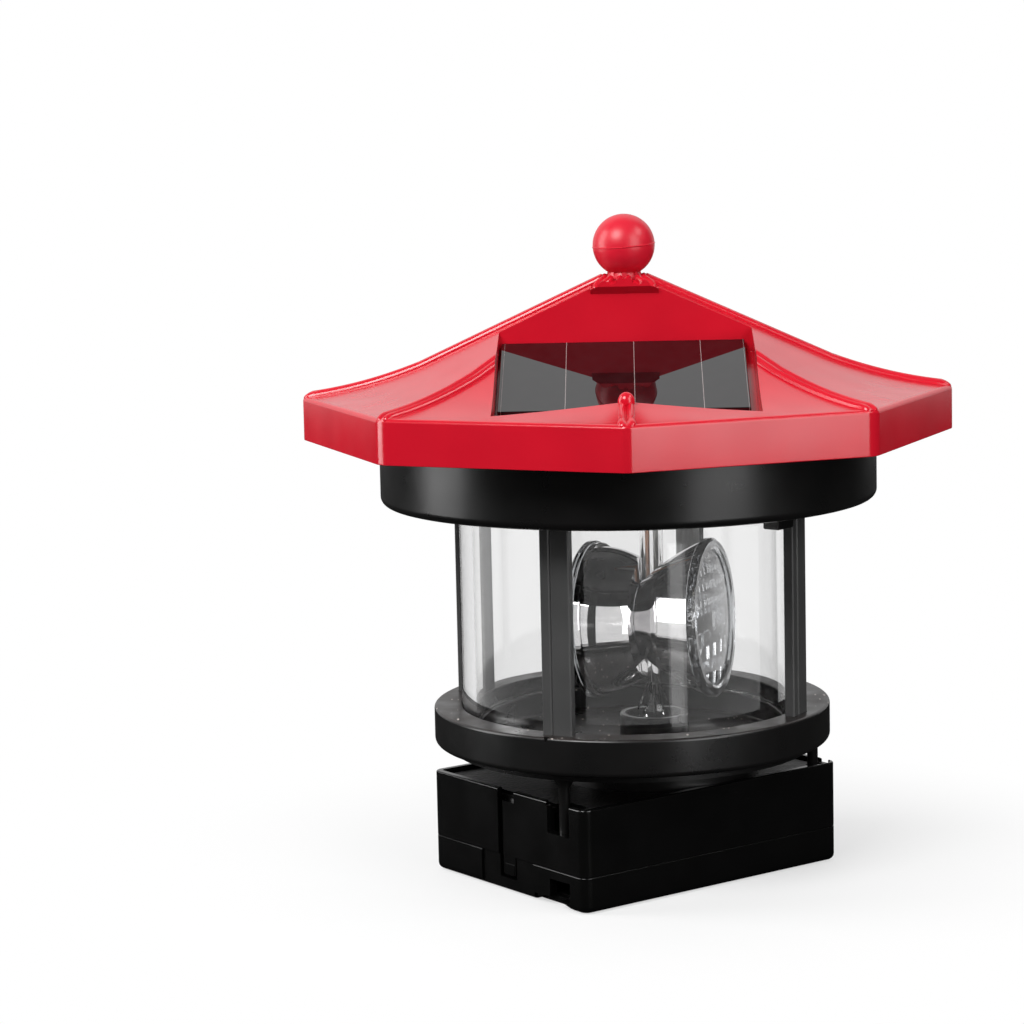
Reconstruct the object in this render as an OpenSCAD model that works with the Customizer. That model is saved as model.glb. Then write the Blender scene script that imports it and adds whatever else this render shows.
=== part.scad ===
// Solar lighthouse lamp head: a red octagonal roof with a sloping solar panel, a glazed
// lantern room with a turning two-way beacon, and a base box with gearbox, motor and cell.
// Origin: on the lantern's vertical axis, at the underside of the base box. +Z is up and
// the solar panel faces -Y. One corner of the octagonal roof points straight at -Y.

/* [Roof] */
// Width of the roof across two opposite corners
roof_w = 95; // [90:1:110]
// Height of the eave's lower edge above the ground
eave_z = 64.2; // [64:0.1:68]
// Height of the upright fascia under the roof slope
fascia_h = 6.3; // [5.8:0.1:6.8]
// Thickness of the moulded roof wall
roof_wall = 1.8; // [1.4:0.1:2.2]
// How far the ridge beads stand above the slopes
bead_h = 0.7; // [0.5:0.1:1]
// Width of a ridge bead
bead_w = 2.6; // [2:0.1:3]
// Diameter of the ball on the apex
ball_d = 9; // [7:0.5:10]

/* [Solar panel] */
// Panel width, left to right
panel_w = 35; // [32:0.5:35.4]
// Panel length, down the slope
panel_l = 22.6; // [20:0.2:22.8]
// Slope of the panel from horizontal
panel_tilt = 20; // [18:1:21]
// Thickness of the panel's circuit board backing
panel_board_t = 1; // [0.8:0.1:1.2]
// Thickness of the cells and the clear resin over them
panel_face_t = 0.8; // [0.5:0.1:0.9]

/* [Lantern room] */
// Outer diameter of the ring under the roof
ring_d = 72.3; // [70:0.1:74]
// Height of the ring's lower edge
ring_z = 54.9; // [54:0.1:56]
// Outer diameter of the clear cylinder
glazing_d = 49.9; // [49:0.1:50.1]
// Wall of the clear cylinder
glazing_wall = 2; // [1.5:0.1:2.2]
// Outer diameter of the base flange
flange_d = 58.2; // [58:0.1:60]
// Width of a corner post
post_w = 4.4; // [4:0.1:4.6]
// Depth of a corner post
post_t = 1.5; // [1.3:0.1:1.7]
// Clock position of the first post, degrees from the front towards the left
post_turn = 22.5; // [20:0.5:25]
// Turn of the right-hand post towards the front, out of the even spacing, in degrees
right_post_turn = 5.2; // [0:0.1:8]

/* [Beacon] */
// Sideways offset of the beacon's turning axis from the lantern's axis
axis_x = 3.3; // [2:0.1:3.4]
// Height of the beacon's optical axis
beacon_z = 37; // [36.5:0.1:38]
// Clock position of the front lens, degrees from the front towards the right
beacon_turn = 72; // [0:1:90]
// Lean of the optical axis in its loose spigot
beacon_lean = 3; // [0:0.5:4]
// Outer diameter of a lens
lens_d = 23.2; // [22.6:0.1:23.6]
// Distance from the turning axis to the face of a reflector's rim
rim_s = 8.4; // [8.2:0.1:8.8]
// Wall of a reflector
reflector_wall = 0.9; // [0.7:0.1:1]

/* [Gears] */
// Gear module
gear_m = 0.4; // [0.38:0.01:0.4]
// Face width of a gear
gear_w = 1.2; // [1:0.1:1.2]
// Diameter of the fixed pins that the idlers turn on
gear_pin_d = 1; // [0.8:0.1:1]

/* [Base box] */
// Length of the box
box_l = 47.8; // [47.6:0.1:49]
// Width of the box
box_w = 36.2; // [36:0.1:37]
// Height of the box's rim
box_h = 14.8; // [14.6:0.1:15]
// Height of the seam between tray and case
seam_z = 5.1; // [5:0.1:5.3]
// Wall of the box
box_wall = 1.3; // [1.1:0.1:1.3]
// Turn of the box's length from +X
box_turn = 38.8; // [38:0.1:40]
// Diameter of the rechargeable cell
cell_d = 10.5; // [10:0.1:10.5]
// Length of the rechargeable cell
cell_l = 30; // [28:0.5:30]

/* [Hidden] */
$fn = 64;

// Roof slope: straight near the apex, then sweeping out flat towards the eave.
roof_r = roof_w / 2;
bend_r = 30;
apex_r = 3.7;
eave_slope = 0.1;
eave_curve = 0.0082;
function eave_rise(t) = eave_slope * t + eave_curve * t * t;
hip_slope = eave_slope + 2 * eave_curve * (roof_r - bend_r) + 0.07;
function slope_h(r) = fascia_h + (r > bend_r ? eave_rise(roof_r - r)
                                             : eave_rise(roof_r - bend_r) + (bend_r - r) * hip_slope);
slope_steps = 5;
bead_nose = bead_w / 2;
bead_sides = 13;
bead_spin = 11;
slope_radii = concat([for (i = [0 : slope_steps]) roof_r - i * (roof_r - bend_r) / slope_steps], [apex_r]);
apex_z = eave_z + slope_h(apex_r);
ball_z = apex_z + ball_d / 2 + 0.4;

// Recess for the solar panel, cut into the two front slopes.
recess_w = panel_w + 1.4;
panel_x = -0.35;
recess_back_y = -3;
recess_front_y = -36.6;
panel_top_z = eave_z + 13.9;
panel_t = panel_board_t + panel_face_t;
panel_seat_z = panel_top_z - panel_t / cos(panel_tilt);
panel_foot_y = recess_back_y - (panel_l + 0.5) * cos(panel_tilt);
recess_floor_z = eave_z + 4.9;
tub_wall = 1.4;

// Lantern room levels.
ring_r = ring_d / 2;
ring_wall = 1.7;
ceiling_z = 62.6;
ceiling_t = 1.4;
skirt_top_z = eave_z + 3.2;
flange_r = flange_d / 2;
flange_z = 19.3;
flange_top_z = 24.8;
floor_t = 1.1;
glazing_r = glazing_d / 2;
glazing_z = 22.5;
post_in_r = 25.8;
post_foot_z = 22.9;
screw_r = 30;
screw_hole_r = 1.1;

// Gear train, in three layers from the motor's pinion up to the output wheel.
pinion_teeth = 8;
wheel_teeth = 28;
pitch_gap = gear_m * (pinion_teeth + wheel_teeth) / 2 + 0.03;
layer = [13.8, 15.3, 16.8];
box_x = 0.3;
output_u = [(axis_x - box_x) * cos(box_turn), -(axis_x - box_x) * sin(box_turn)];
first_angle = -110.7;
second_angle = first_angle + 60;
motor_angle = first_angle - 45;
first_u = output_u + pitch_gap * [cos(first_angle), sin(first_angle)];
second_u = output_u + pitch_gap * [cos(second_angle), sin(second_angle)];
motor_u = output_u + sqrt(2) * pitch_gap * [cos(motor_angle), sin(motor_angle)];
gearbox_r = 15.3;
gearbox_plug_r = 14.6;
gearbox_z = 12.6;
gearbox_wall = 0.8;
journal_r = 1.5;
journal_gap = 0.06;
motor_r = 6;
motor_h = 8.4;

// Base box. Its own axes are u along the length and v across the width.
half_l = box_l / 2;
corner_r = 1.5;
floor_h = 1.4;
plate_z = 13;
plate_top_z = box_h - 0.6;
door_end_u = 15.5;
door_edge_v = -6.1;
door_gap = 0.15;
cell_v = 9.5;
cell_u = -1.5;
cell_z = floor_h + 0.3 + cell_d / 2;
slot_v = 0;
slot_w = 3.9;
slot_z = 1.8;
notch_v = -12.3;
notch_w = 5;
notch_z = 10.4;
pins_u = [[-22, -11.4], [21.4, -15.4], [20.2, 15.4]];
screws_u = [[-19.4, -13.6], [19, -12.2]];
switch_u = [10, -11];
board_z = 6;
board_t = 1;

module box_frame() {
    translate([box_x, 0, 0]) rotate([0, 0, box_turn]) children();
}

module at_box(p, z = 0) {
    box_frame() translate([p.x, p.y, z]) children();
}

// Places a child that is drawn about +Z on the beacon's leaning, level optical axis.
module optical_frame() {
    translate([axis_x, 0, beacon_z]) rotate([0, 0, beacon_turn - 90])
        rotate([0, 90 - beacon_lean, 0]) children();
}

module rounded_plate(l, w, r, h) {
    linear_extrude(h) {
        square([l - 2 * r, w], center = true);
        square([l, w - 2 * r], center = true);
        for (x = [-1, 1], y = [-1, 1]) translate([x * (l / 2 - r), y * (w / 2 - r)]) circle(r, $fn = 32);
    }
}

// The box's outline brought in by "inset", h high.
module box_core(inset, h) {
    rounded_plate(box_l - 2 * inset, box_w - 2 * inset, 0.8, h);
}

module tube(r_out, r_in, h) {
    difference() {
        cylinder(r = r_out, h = h);
        translate([0, 0, -1]) cylinder(r = r_in, h = h + 2);
    }
}

// A round wire swept through points. "away" is any direction that no run of the wire takes.
module wire(path, r, sides = 8, away = [0.37, 0.91, 0.12]) {
    n = len(path);
    rings = [for (i = [0 : n - 1])
        let (ahead = path[min(i + 1, n - 1)] - path[max(i - 1, 0)], along = ahead / norm(ahead),
             side = cross(along, away) / norm(cross(along, away)), up = cross(side, along))
        for (k = [0 : sides - 1]) path[i] + r * (cos(360 * k / sides) * side + sin(360 * k / sides) * up)];
    skin = [for (i = [0 : n - 2], k = [0 : sides - 1])
        let (a = i * sides + k, b = i * sides + (k + 1) % sides)
        each [[a, b, b + sides], [a, b + sides, a + sides]]];
    caps = [[for (k = [sides - 1 : -1 : 0]) k], [for (k = [0 : sides - 1]) (n - 1) * sides + k]];
    polyhedron(rings, concat(skin, caps));
}

// ---- Roof ----

// Octagonal body of revolution between the eave and a slope lowered by "drop".
module octagon_slope(drop, inset, base_z) {
    slope = [for (r = slope_radii) [max(r - inset, 0.01), eave_z + slope_h(r) - drop]];
    points = concat([[0, base_z], [roof_r - inset, base_z]], slope, [[0, apex_z - drop]]);
    rotate_extrude($fn = 8) polygon(points);
}

// One ridge bead: a half-round rib from the apex down to a round nose at the eave's corner.
module ridge_bead(from_r = 0) {
    radii = [for (r = slope_radii) if (r > from_r) r];
    stops = from_r == 0 ? radii : concat(radii, [from_r]);
    for (i = [0 : len(stops) - 2]) hull() for (r = [stops[i], stops[i + 1]])
        translate([r - bead_nose, 0, eave_z + slope_h(r) - bead_nose + bead_h]) rotate([0, 0, bead_spin])
            sphere(bead_nose, $fn = bead_sides);
    translate([roof_r - bead_nose, 0, eave_z + 0.1]) rotate([0, 0, bead_spin])
        cylinder(r = bead_nose, h = fascia_h - bead_nose + bead_h, $fn = bead_sides);
}

// Places a child at each of the four screws that hold the ring to the roof.
module at_screws(z) {
    for (a = [45 : 90 : 315]) rotate([0, 0, a]) translate([screw_r, 0, z]) children();
}

// Side profile of the panel's recess, grown by "wall" and open upwards to "open_h".
module recess_profile(wall, open_h) {
    seat_z = panel_seat_z - wall;
    foot_z = seat_z - (recess_back_y - panel_foot_y) * tan(panel_tilt);
    floor_z = recess_floor_z - wall;
    rotate([90, 0, 90]) linear_extrude(recess_w + 2 * wall, center = true)
        polygon([[recess_back_y + wall, open_h], [recess_back_y + wall, seat_z],
                 [panel_foot_y, foot_z], [panel_foot_y, floor_z],
                 [recess_front_y - wall, floor_z], [recess_front_y - wall, open_h]]);
}

module roof_shell() {
    color("crimson") difference() {
        union() {
            difference() {
                octagon_slope(0, 0, eave_z);
                octagon_slope(roof_wall + 0.3, roof_wall, eave_z - 1);
            }
            intersection() {
                octagon_slope(0.1, 0.1, eave_z);
                recess_profile(tub_wall, apex_z);
            }
            for (i = [0 : 7]) rotate([0, 0, 45 * i]) ridge_bead(i == 6 ? -recess_front_y : 0);
            translate([0, recess_front_y - 0.9, eave_z + 8.3]) sphere(bead_nose, $fn = 24);
            intersection() {
                octagon_slope(0.1, 0.1, eave_z);
                union() {
                    at_screws(ceiling_z + ceiling_t) cylinder(r = 2.6, h = 12);
                    translate([0, 0, apex_z - 5]) cylinder(r = apex_r, h = 6);
                }
            }
        }
        recess_profile(0, apex_z + 9);
        at_screws(ceiling_z - 1) cylinder(r = 0.9, h = 8);
        translate([0, 0, apex_z - 6]) cylinder(r = 1.85, h = 20);
        translate([0, 0, apex_z + 0.02]) cylinder(r = 2.55, h = 9);
        translate([0, -15, eave_z + 5]) cylinder(r = 1.6, h = 6);
    }
}

module finial_ball() {
    color("crimson") {
        translate([0, 0, ball_z]) sphere(ball_d / 2);
        translate([0, 0, apex_z + 0.03]) cylinder(r = 2.5, h = 1.6);
        translate([0, 0, apex_z - 3.2]) cylinder(r = 1.8, h = 4);
    }
}

// Draws a slab of the panel, "below" the panel's top face, "t" thick and "short" of its back.
module panel_slab(below, t, short = 0) {
    translate([panel_x, recess_back_y - 0.1, panel_top_z]) rotate([panel_tilt, 0, 0])
        translate([-panel_w / 2, -panel_l - 0.3, -below - t + 0.04]) cube([panel_w, panel_l - short, t - 0.04]);
}

module panel_board() {
    color("darkgreen") panel_slab(panel_face_t, panel_board_t, 0.6);
}

module panel_face() {
    color([0.16, 0.15, 0.18]) panel_slab(0, panel_face_t);
}

module pan_screw(head_r, head_h, shank_r, l) {
    difference() {
        cylinder(r = head_r, h = head_h, $fn = 32);
        for (a = [0, 90]) rotate([0, 0, a]) translate([-head_r * 0.65, -0.2, -0.1])
            cube([head_r * 1.3, 0.4, 0.6]);
    }
    translate([0, 0, head_h]) cylinder(r = shank_r, h = l, $fn = 32);
}

module roof_screws() {
    color("silver") at_screws(ceiling_z - 1.3) pan_screw(1.9, 1.3, 0.85, 7);
}

// ---- Lantern room ----

module upper_ring() {
    lip = 1.2;
    lug_turn = -37.4;
    color([0.1, 0.1, 0.1]) difference() {
        union() {
            rotate_extrude($fn = 128) union() {
                translate([ring_r - ring_wall, ring_z + lip]) square([ring_wall, skirt_top_z - ring_z - lip]);
                translate([ring_r - ring_wall, ring_z]) square([ring_wall - lip, lip + 0.1]);
                translate([ring_r - lip, ring_z + lip]) circle(lip, $fn = 32);
                translate([0, ceiling_z]) square([ring_r - 0.5, ceiling_t]);
                translate([glazing_r - glazing_wall - 1.2, ceiling_z - 2.4]) square([1, 2.5]);
            }
            for (a = [lug_turn, lug_turn + 180]) rotate([0, 0, a]) translate([25.2, -1.9, ring_z - 2.7])
                cube([2.7, 3.8, 10.5]);
        }
        translate([axis_x, 0, ceiling_z - 1]) cylinder(r = 1.75, h = 4);
        at_screws(ceiling_z - 1) cylinder(r = screw_hole_r, h = 4);
        post_place(2) translate([25, -2.4, ceiling_z - 1]) cube([0.8, 4.8, 4]);
    }
}

module clear_cylinder() {
    color([0.85, 0.9, 0.95, 0.35]) translate([0, 0, glazing_z + 0.02])
        tube(glazing_r, glazing_r - glazing_wall, ceiling_z - glazing_z - 0.3, $fn = 128);
}

// Posts stand a quarter turn apart, counted towards the right, and number 1 is off its place.
module post_place(i) {
    rotate([0, 0, -90 - post_turn + 90 * i - (i == 1 ? right_post_turn : 0)]) children();
}

// A post: a flat bar with a shallow groove off its middle and a foot tenon in the flange.
module corner_post(i) {
    groove = 0.35;
    color([0.13, 0.13, 0.13]) post_place(i) difference() {
        translate([post_in_r, -post_w / 2, post_foot_z])
            cube([post_t, post_w, ceiling_z - post_foot_z - 0.02]);
        translate([post_in_r + post_t, -post_w / 2 + 1.5, post_foot_z - 1]) rotate([0, 0, 45])
            translate([-groove / 2, -groove / 2, 0]) cube([groove, groove, 50]);
    }
}

module post_front() corner_post(0);
module post_right() corner_post(1);
module post_rear() corner_post(2);
module post_left() corner_post(3);

module base_flange() {
    edge = 0.8;
    color([0.14, 0.13, 0.13]) difference() {
        union() {
            translate([0, 0, flange_z - floor_t]) cylinder(r = glazing_r + 1.5, h = floor_t);
            translate([0, 0, flange_z + edge])
                cylinder(r = flange_r, h = flange_top_z - flange_z - edge, $fn = 128);
            translate([0, 0, flange_z]) cylinder(r1 = flange_r - edge, r2 = flange_r, h = edge, $fn = 128);
            for (p = pins_u) at_box(p) {
                translate([0, 0, flange_z - 2.5]) cylinder(r1 = 0.8, r2 = 2.3, h = 2.6, $fn = 32);
                translate([0, 0, notch_z - 0.3]) cylinder(r = 0.8, h = 8, $fn = 32);
            }
        }
        translate([0, 0, glazing_z]) cylinder(r = glazing_r + 0.1, h = 9, $fn = 128);
        translate([0, 0, flange_z]) cylinder(r = glazing_r - glazing_wall - 0.6, h = 9, $fn = 128);
        translate([axis_x, 0, flange_z - 3]) cylinder(r = journal_r + journal_gap, h = 9);
        for (i = [0 : 3]) post_place(i) translate([post_in_r - 0.05, -post_w / 2 - 0.05, post_foot_z - 0.02])
            cube([post_t + 0.1, post_w + 0.1, 9]);
        post_place(2) translate([25, -2.4, flange_z - 3]) cube([0.85, 4.8, 9]);
    }
}

// ---- Lamp and leads ----

module stem_tube() {
    color([0.9, 0.9, 0.9, 0.5]) translate([axis_x, 0, 0]) {
        translate([0, 0, 42.2]) tube(1.7, 1.25, ceiling_z + 3 - 42.2);
        translate([0, 0, ceiling_z + ceiling_t]) tube(2.8, 1.6, 0.8);
    }
}

module lamp_led() {
    color([0.95, 0.95, 0.9, 0.6]) translate([axis_x, 0, 0]) {
        translate([0, 0, 37.2]) sphere(1.5, $fn = 32);
        translate([0, 0, 37.2]) cylinder(r = 1.5, h = 4, $fn = 32);
        translate([0, 0, 41.2]) cylinder(r = 1.7, h = 0.98, $fn = 32);
    }
}

module led_leads() {
    for (side = [-1, 1]) color(side < 0 ? "peru" : "white") wire([
        [axis_x + side * 0.6, 0, 42.2], [axis_x + side * 0.6, 0, 66.6],
        [axis_x + side * 1.2, 6, 67], [10.4 + side * 0.5, 22.8, 67], [10.4 + side * 0.5, 22.8, 66]
    ], 0.35);
}

// Flat light-coloured lead that carries the panel's and the lamp's wires down to the box.
module ribbon_lead() {
    w = 4.2;
    t = 0.6;
    low_z = 16.9;
    inner_r = 19.2;
    color([0.85, 0.85, 0.85]) post_place(2) {
        translate([25.1, -w / 2, low_z]) cube([t, w, 66 - low_z]);
        translate([inner_r, -w / 2, low_z]) cube([25.1 + t - inner_r, w, t]);
        translate([inner_r, -w / 2, board_z + board_t]) cube([t, w, low_z + t - board_z - board_t]);
    }
}

module solar_leads() {
    for (side = [-1, 1]) color(side < 0 ? "darkred" : "black") wire([
        [side * 0.8, -15, 71.2], [side * 0.8, -15, 66.4], [-4, 4, 66.4 + side * 0.6],
        [7.6 + side * 0.5, 21.4, 66.4 + side * 0.6], [7.6 + side * 0.5, 22.6, 66]
    ], 0.4);
}

module motor_leads() {
    for (side = [-1, 1]) color(side < 0 ? "red" : "black") box_frame() wire([
        [motor_u.x + side * 2.4, motor_u.y - 2, 3.6], [motor_u.x + side * 2.4, motor_u.y - 2, 2.6],
        [motor_u.x + 9, motor_u.y - 1 + side * 1.2, 2.6], [8.2, motor_u.y - 1 + side * 1.2, 5.5]
    ], 0.4);
}

module battery_leads() {
    box_frame() {
        color("red") wire([
            [14.03, 6.4, 11.5], [14.03, 4.2, 11.5], [16.6, 3.2, 11.2], [16.6, 3.2, 7.02]
        ], 0.35);
        color("black") wire([
            [-20.9, 6.4, 11.6], [-20.9, 4, 11.6], [-19, 3.1, 11.9], [-5, 3.1, 11.9],
            [11, 2.3, 10.4], [11, 2.3, 7.02]
        ], 0.35);
    }
}

// ---- Beacon ----

// Front reflector: a paraboloid whose open neck passes the turning axis.
neck_s = -2.6;
front_focus = 10.4;
front_apex = 4.2;
function front_r(s) = sqrt(front_focus * (s + front_apex));
function rear_r(s) = 10.8 * sqrt(1 - pow((rim_s - s) / 11.9, 2));
curve_steps = 14;

// What the stem and the spigot take out of the reflectors.
module stem_and_spigot_holes() {
    translate([axis_x, 0, beacon_z]) cylinder(r = 2.2, h = 20);
    translate([axis_x, 0, beacon_z - 12]) cylinder(r = 0.9, h = 10);
}

module front_reflector() {
    s_list = [for (i = [0 : curve_steps]) neck_s + i * (rim_s - neck_s) / curve_steps];
    outer = [for (s = s_list) [front_r(s), s]];
    inner = [for (i = [curve_steps : -1 : 0]) [front_r(s_list[i]) - reflector_wall, s_list[i]]];
    color("silver") difference() {
        union() {
            optical_frame() rotate_extrude($fn = 96) polygon(concat(outer, inner));
            optical_frame() translate([0, 0, rim_s - 0.9]) tube(lens_d / 2 - 0.3, front_r(rim_s) - 0.4, 0.9);
        }
        stem_and_spigot_holes();
    }
}

module rear_reflector() {
    end_s = 1.1;
    s_list = [for (i = [0 : curve_steps]) end_s + i * (rim_s - end_s) / curve_steps];
    outer = [for (s = s_list) [rear_r(s), -s]];
    inner = [for (i = [curve_steps : -1 : 0]) [rear_r(s_list[i]) - reflector_wall, -s_list[i]]];
    color("silver") difference() {
        optical_frame() {
            rotate_extrude($fn = 96) polygon(concat(outer, inner));
            translate([0, 0, -rim_s]) tube(lens_d / 2 - 0.3, rear_r(rim_s) - 0.4, 0.9);
            translate([0, 0, -end_s - 0.9]) tube(rear_r(end_s) - 0.3, front_r(-end_s) + 0.06, 0.9);
        }
        stem_and_spigot_holes();
    }
}

// Lens: a plain clear rim round a domed disc.
module lens_body() {
    dome_r = 60;
    rim_w = 1.4;
    face_r = lens_d / 2 - rim_w;
    color([0.9, 0.95, 1, 0.4]) {
        tube(lens_d / 2, face_r - 0.3, 1.3);
        intersection() {
            cylinder(r = face_r, h = 4);
            translate([0, 0, 1.6 - dome_r]) sphere(dome_r, $fn = 180);
        }
    }
}

module front_lens() optical_frame() translate([0, 0, rim_s + 0.02]) lens_body();

module rear_lens() optical_frame() mirror([0, 0, 1]) translate([0, 0, rim_s + 0.02]) lens_body();

// Clear flared spigot with four fins, which hangs the beacon in its drive cup.
module drive_spigot() {
    top_z = beacon_z - front_r(0) + reflector_wall;
    color([0.9, 0.95, 1, 0.5]) translate([axis_x, 0, 0]) {
        translate([0, 0, 20.5]) cylinder(r = 1.7, h = 2.6, $fn = 32);
        translate([0, 0, 23.1]) cylinder(r1 = 1.7, r2 = 0.85, h = 3.2, $fn = 32);
        translate([0, 0, 26.3]) cylinder(r = 0.85, h = top_z - 26.3, $fn = 32);
        for (a = [20 : 90 : 290]) rotate([0, 0, a]) translate([0, 0.3, 0]) rotate([90, 0, 0])
            linear_extrude(0.6) polygon([[0, 22], [2.4, 22], [2.4, 23.4], [1, 27.4], [0, 27.4]]);
    }
}

module drive_cup() {
    cup_r = 5.1;
    cup_z = flange_z + 0.2;
    color([0.1, 0.1, 0.1]) translate([axis_x, 0, 0]) {
        difference() {
            translate([0, 0, cup_z]) cylinder(r = cup_r, h = 23 - cup_z);
            translate([0, 0, cup_z + 0.9]) cylinder(r = cup_r - 0.9, h = 5);
        }
        difference() {
            translate([0, 0, cup_z]) cylinder(r = 2.8, h = 2.2);
            translate([0, 0, 20.45]) cylinder(r = 1.75, h = 5);
        }
        translate([0, 0, layer[2]]) cylinder(r = journal_r, h = cup_z - layer[2] + 0.1);
    }
}

// ---- Gears ----

// Involute gear outline, with a tooth centred on the angle "phase". "add" is the addendum
// and "ded" the dedendum, in modules; the flanks run radially below the base circle.
pressure = 20;
backlash = 0.07;
function inv_deg(a) = tan(a) * 180 / PI - a;
function half_tooth(r, teeth) =
    let (rp = gear_m * teeth / 2, rb = rp * cos(pressure), a = acos(min(1, rb / max(r, rb))))
    (PI * gear_m / 2 - backlash) / (2 * rp) * 180 / PI + inv_deg(pressure) - inv_deg(a);
module gear_outline(teeth, add, ded, phase) {
    rp = gear_m * teeth / 2;
    tip = rp + add * gear_m;
    root = rp - ded * gear_m;
    base = max(rp * cos(pressure), root + 0.01);
    flank = [for (i = [0 : 2]) base + (tip - base) * i / 2];
    radii = concat([root], flank);
    points = [for (k = [0 : teeth - 1]) let (c = phase + 360 * k / teeth) each concat(
        [for (r = radii) let (a = c - half_tooth(r, teeth)) r * [cos(a), sin(a)]],
        [for (i = [3 : -1 : 0]) let (r = radii[i], a = c + half_tooth(r, teeth)) r * [cos(a), sin(a)]]
    )];
    polygon(points);
}

module wheel(phase, h = gear_w) {
    linear_extrude(h) gear_outline(wheel_teeth, 0.48, 1.35, phase);
}

module pinion(phase, h = gear_w) {
    linear_extrude(h) gear_outline(pinion_teeth, 1.05, 0.9, phase);
}

// Phase of a pinion that meshes with a wheel of phase 0, where "toward" is the direction
// from the wheel's centre to the pinion's centre.
function mesh_phase(toward) = toward + 180 + toward * wheel_teeth / pinion_teeth + 180 / pinion_teeth;

module output_gear() {
    color("ivory") at_box(output_u) difference() {
        union() {
            translate([0, 0, layer[2]]) wheel(0);
            translate([0, 0, layer[2] - 0.25]) cylinder(r = 2.6, h = 0.3);
        }
        translate([0, 0, layer[2]]) cylinder(r = journal_r + 0.02, h = 5);
    }
}

// An idler: a wheel with a pinion on top, both turning on one fixed pin.
module idler(z, phase) {
    difference() {
        union() {
            translate([0, 0, z]) wheel(0);
            translate([0, 0, z + gear_w - 0.05]) pinion(phase, layer[1] - layer[0] + 0.05);
        }
        translate([0, 0, z - 1]) cylinder(r = gear_pin_d / 2 + 0.05, h = 9, $fn = 32);
    }
}

module second_idler() {
    color("ivory") at_box(second_u) idler(layer[1], mesh_phase(second_angle));
}

module first_idler() {
    toward = atan2(first_u.y - second_u.y, first_u.x - second_u.x);
    color("ivory") at_box(first_u) idler(layer[0], mesh_phase(toward));
}

module motor_pinion() {
    toward = atan2(motor_u.y - first_u.y, motor_u.x - first_u.x);
    color("gold") at_box(motor_u) {
        translate([0, 0, layer[0] - 0.1]) pinion(mesh_phase(toward), gear_w + 0.1);
        translate([0, 0, 4]) cylinder(r = 0.5, h = layer[0] - 3.9, $fn = 32);
    }
}

module gear_pins() {
    color("silver") for (p = [first_u, second_u]) at_box(p) translate([0, 0, gearbox_z])
        cylinder(r = gear_pin_d / 2, h = layer[2] + gear_w - gearbox_z + 0.1, $fn = 32);
}

module gearbox_cup() {
    inner_r = gearbox_plug_r - gearbox_wall;
    color([0.12, 0.12, 0.12]) at_box(output_u) difference() {
        union() {
            translate([0, 0, gearbox_z]) cylinder(r = gearbox_plug_r, h = 4);
            translate([0, 0, plate_top_z]) cylinder(r = gearbox_r, h = flange_z - floor_t - plate_top_z);
        }
        translate([0, 0, gearbox_z + gearbox_wall]) cylinder(r = inner_r, h = 9);
        for (p = [first_u, second_u]) translate([p.x - output_u.x, p.y - output_u.y, gearbox_z - 1])
            cylinder(r = gear_pin_d / 2 + 0.01, h = 9, $fn = 32);
        translate([motor_u.x - output_u.x, motor_u.y - output_u.y, gearbox_z - 1])
            cylinder(r = 1.2, h = 9, $fn = 32);
    }
}

module motor_can() {
    color("silver") at_box(motor_u) difference() {
        union() {
            translate([0, 0, gearbox_z - 0.02 - motor_h]) cylinder(r = motor_r, h = motor_h - 0.4);
            translate([0, 0, gearbox_z - 0.5]) cylinder(r = 2, h = 0.48);
        }
        translate([0, 0, 3.9]) cylinder(r = 0.56, h = 20, $fn = 32);
    }
}

// ---- Base box ----

module battery_case() {
    rim = 0.9;
    color([0.08, 0.08, 0.08]) difference() {
        union() {
            box_frame() difference() {
                translate([0, 0, seam_z + 0.02]) rounded_plate(box_l, box_w, corner_r, box_h - seam_z - 0.02);
                translate([0, 0, seam_z - 1]) box_core(box_wall, plate_z - seam_z + 1);
                translate([0, 0, plate_top_z]) box_core(rim, 5);
                difference() {
                    translate([0, 0, plate_top_z - 0.5]) box_core(rim, 5);
                    translate([0, 0, plate_top_z - 1]) box_core(rim + 0.8, 5);
                }
            }
            // Screw posts, contact holders and the latch finger that hangs down in the slot.
            for (p = screws_u) at_box(p, 3.2) cylinder(r = 1.9, h = plate_z - 3.1);
            box_frame() {
                translate([-22.4, 4.6, 4]) cube([0.8, 9.8, plate_z - 3.9]);
                translate([14.8, 4.6, 4]) cube([0.8, 9.8, plate_z - 3.9]);
                translate([-half_l + 0.5, slot_v - 1.4, 2.2]) cube([0.9, 2.8, plate_z - 2.1]);
                translate([-half_l + 0.25, slot_v - 1.1, 2.2]) cube([0.4, 2.2, 1.6]);
            }
        }
        box_frame() {
            translate([-half_l - 1, slot_v - slot_w / 2, slot_z]) cube([1.45, slot_w, 20]);
            difference() {
                translate([-half_l - 1, slot_v - slot_w / 2, slot_z]) cube([1 + box_wall, slot_w, 20]);
                translate([-half_l, slot_v - 1.4, 0]) cube([9, 2.8, plate_z]);
            }
            translate([-half_l - 1, notch_v - notch_w / 2, notch_z]) cube([1 + box_wall + 2.4, notch_w, 20]);
            for (p = pins_u) translate([p.x, p.y, 7]) cylinder(r = 0.95, h = 20, $fn = 32);
            for (p = pins_u) translate([p.x, p.y, plate_top_z + 0.01]) cylinder(r = 2.6, h = 20, $fn = 32);
            for (p = screws_u) translate([p.x, p.y, 0]) cylinder(r = 0.75, h = 10.5, $fn = 32);
        }
        at_box(output_u) cylinder(r = gearbox_plug_r + 0.1, h = 40);
        post_place(2) translate([18.9, -2.5, 9]) cube([1.2, 5, 9]);
    }
}

// The tray's solid, before the door is cut out of it.
module tray_blank() {
    difference() {
        rounded_plate(box_l, box_w, corner_r, seam_z);
        translate([0, 0, floor_h]) box_core(box_wall, 9);
    }
}

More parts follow.
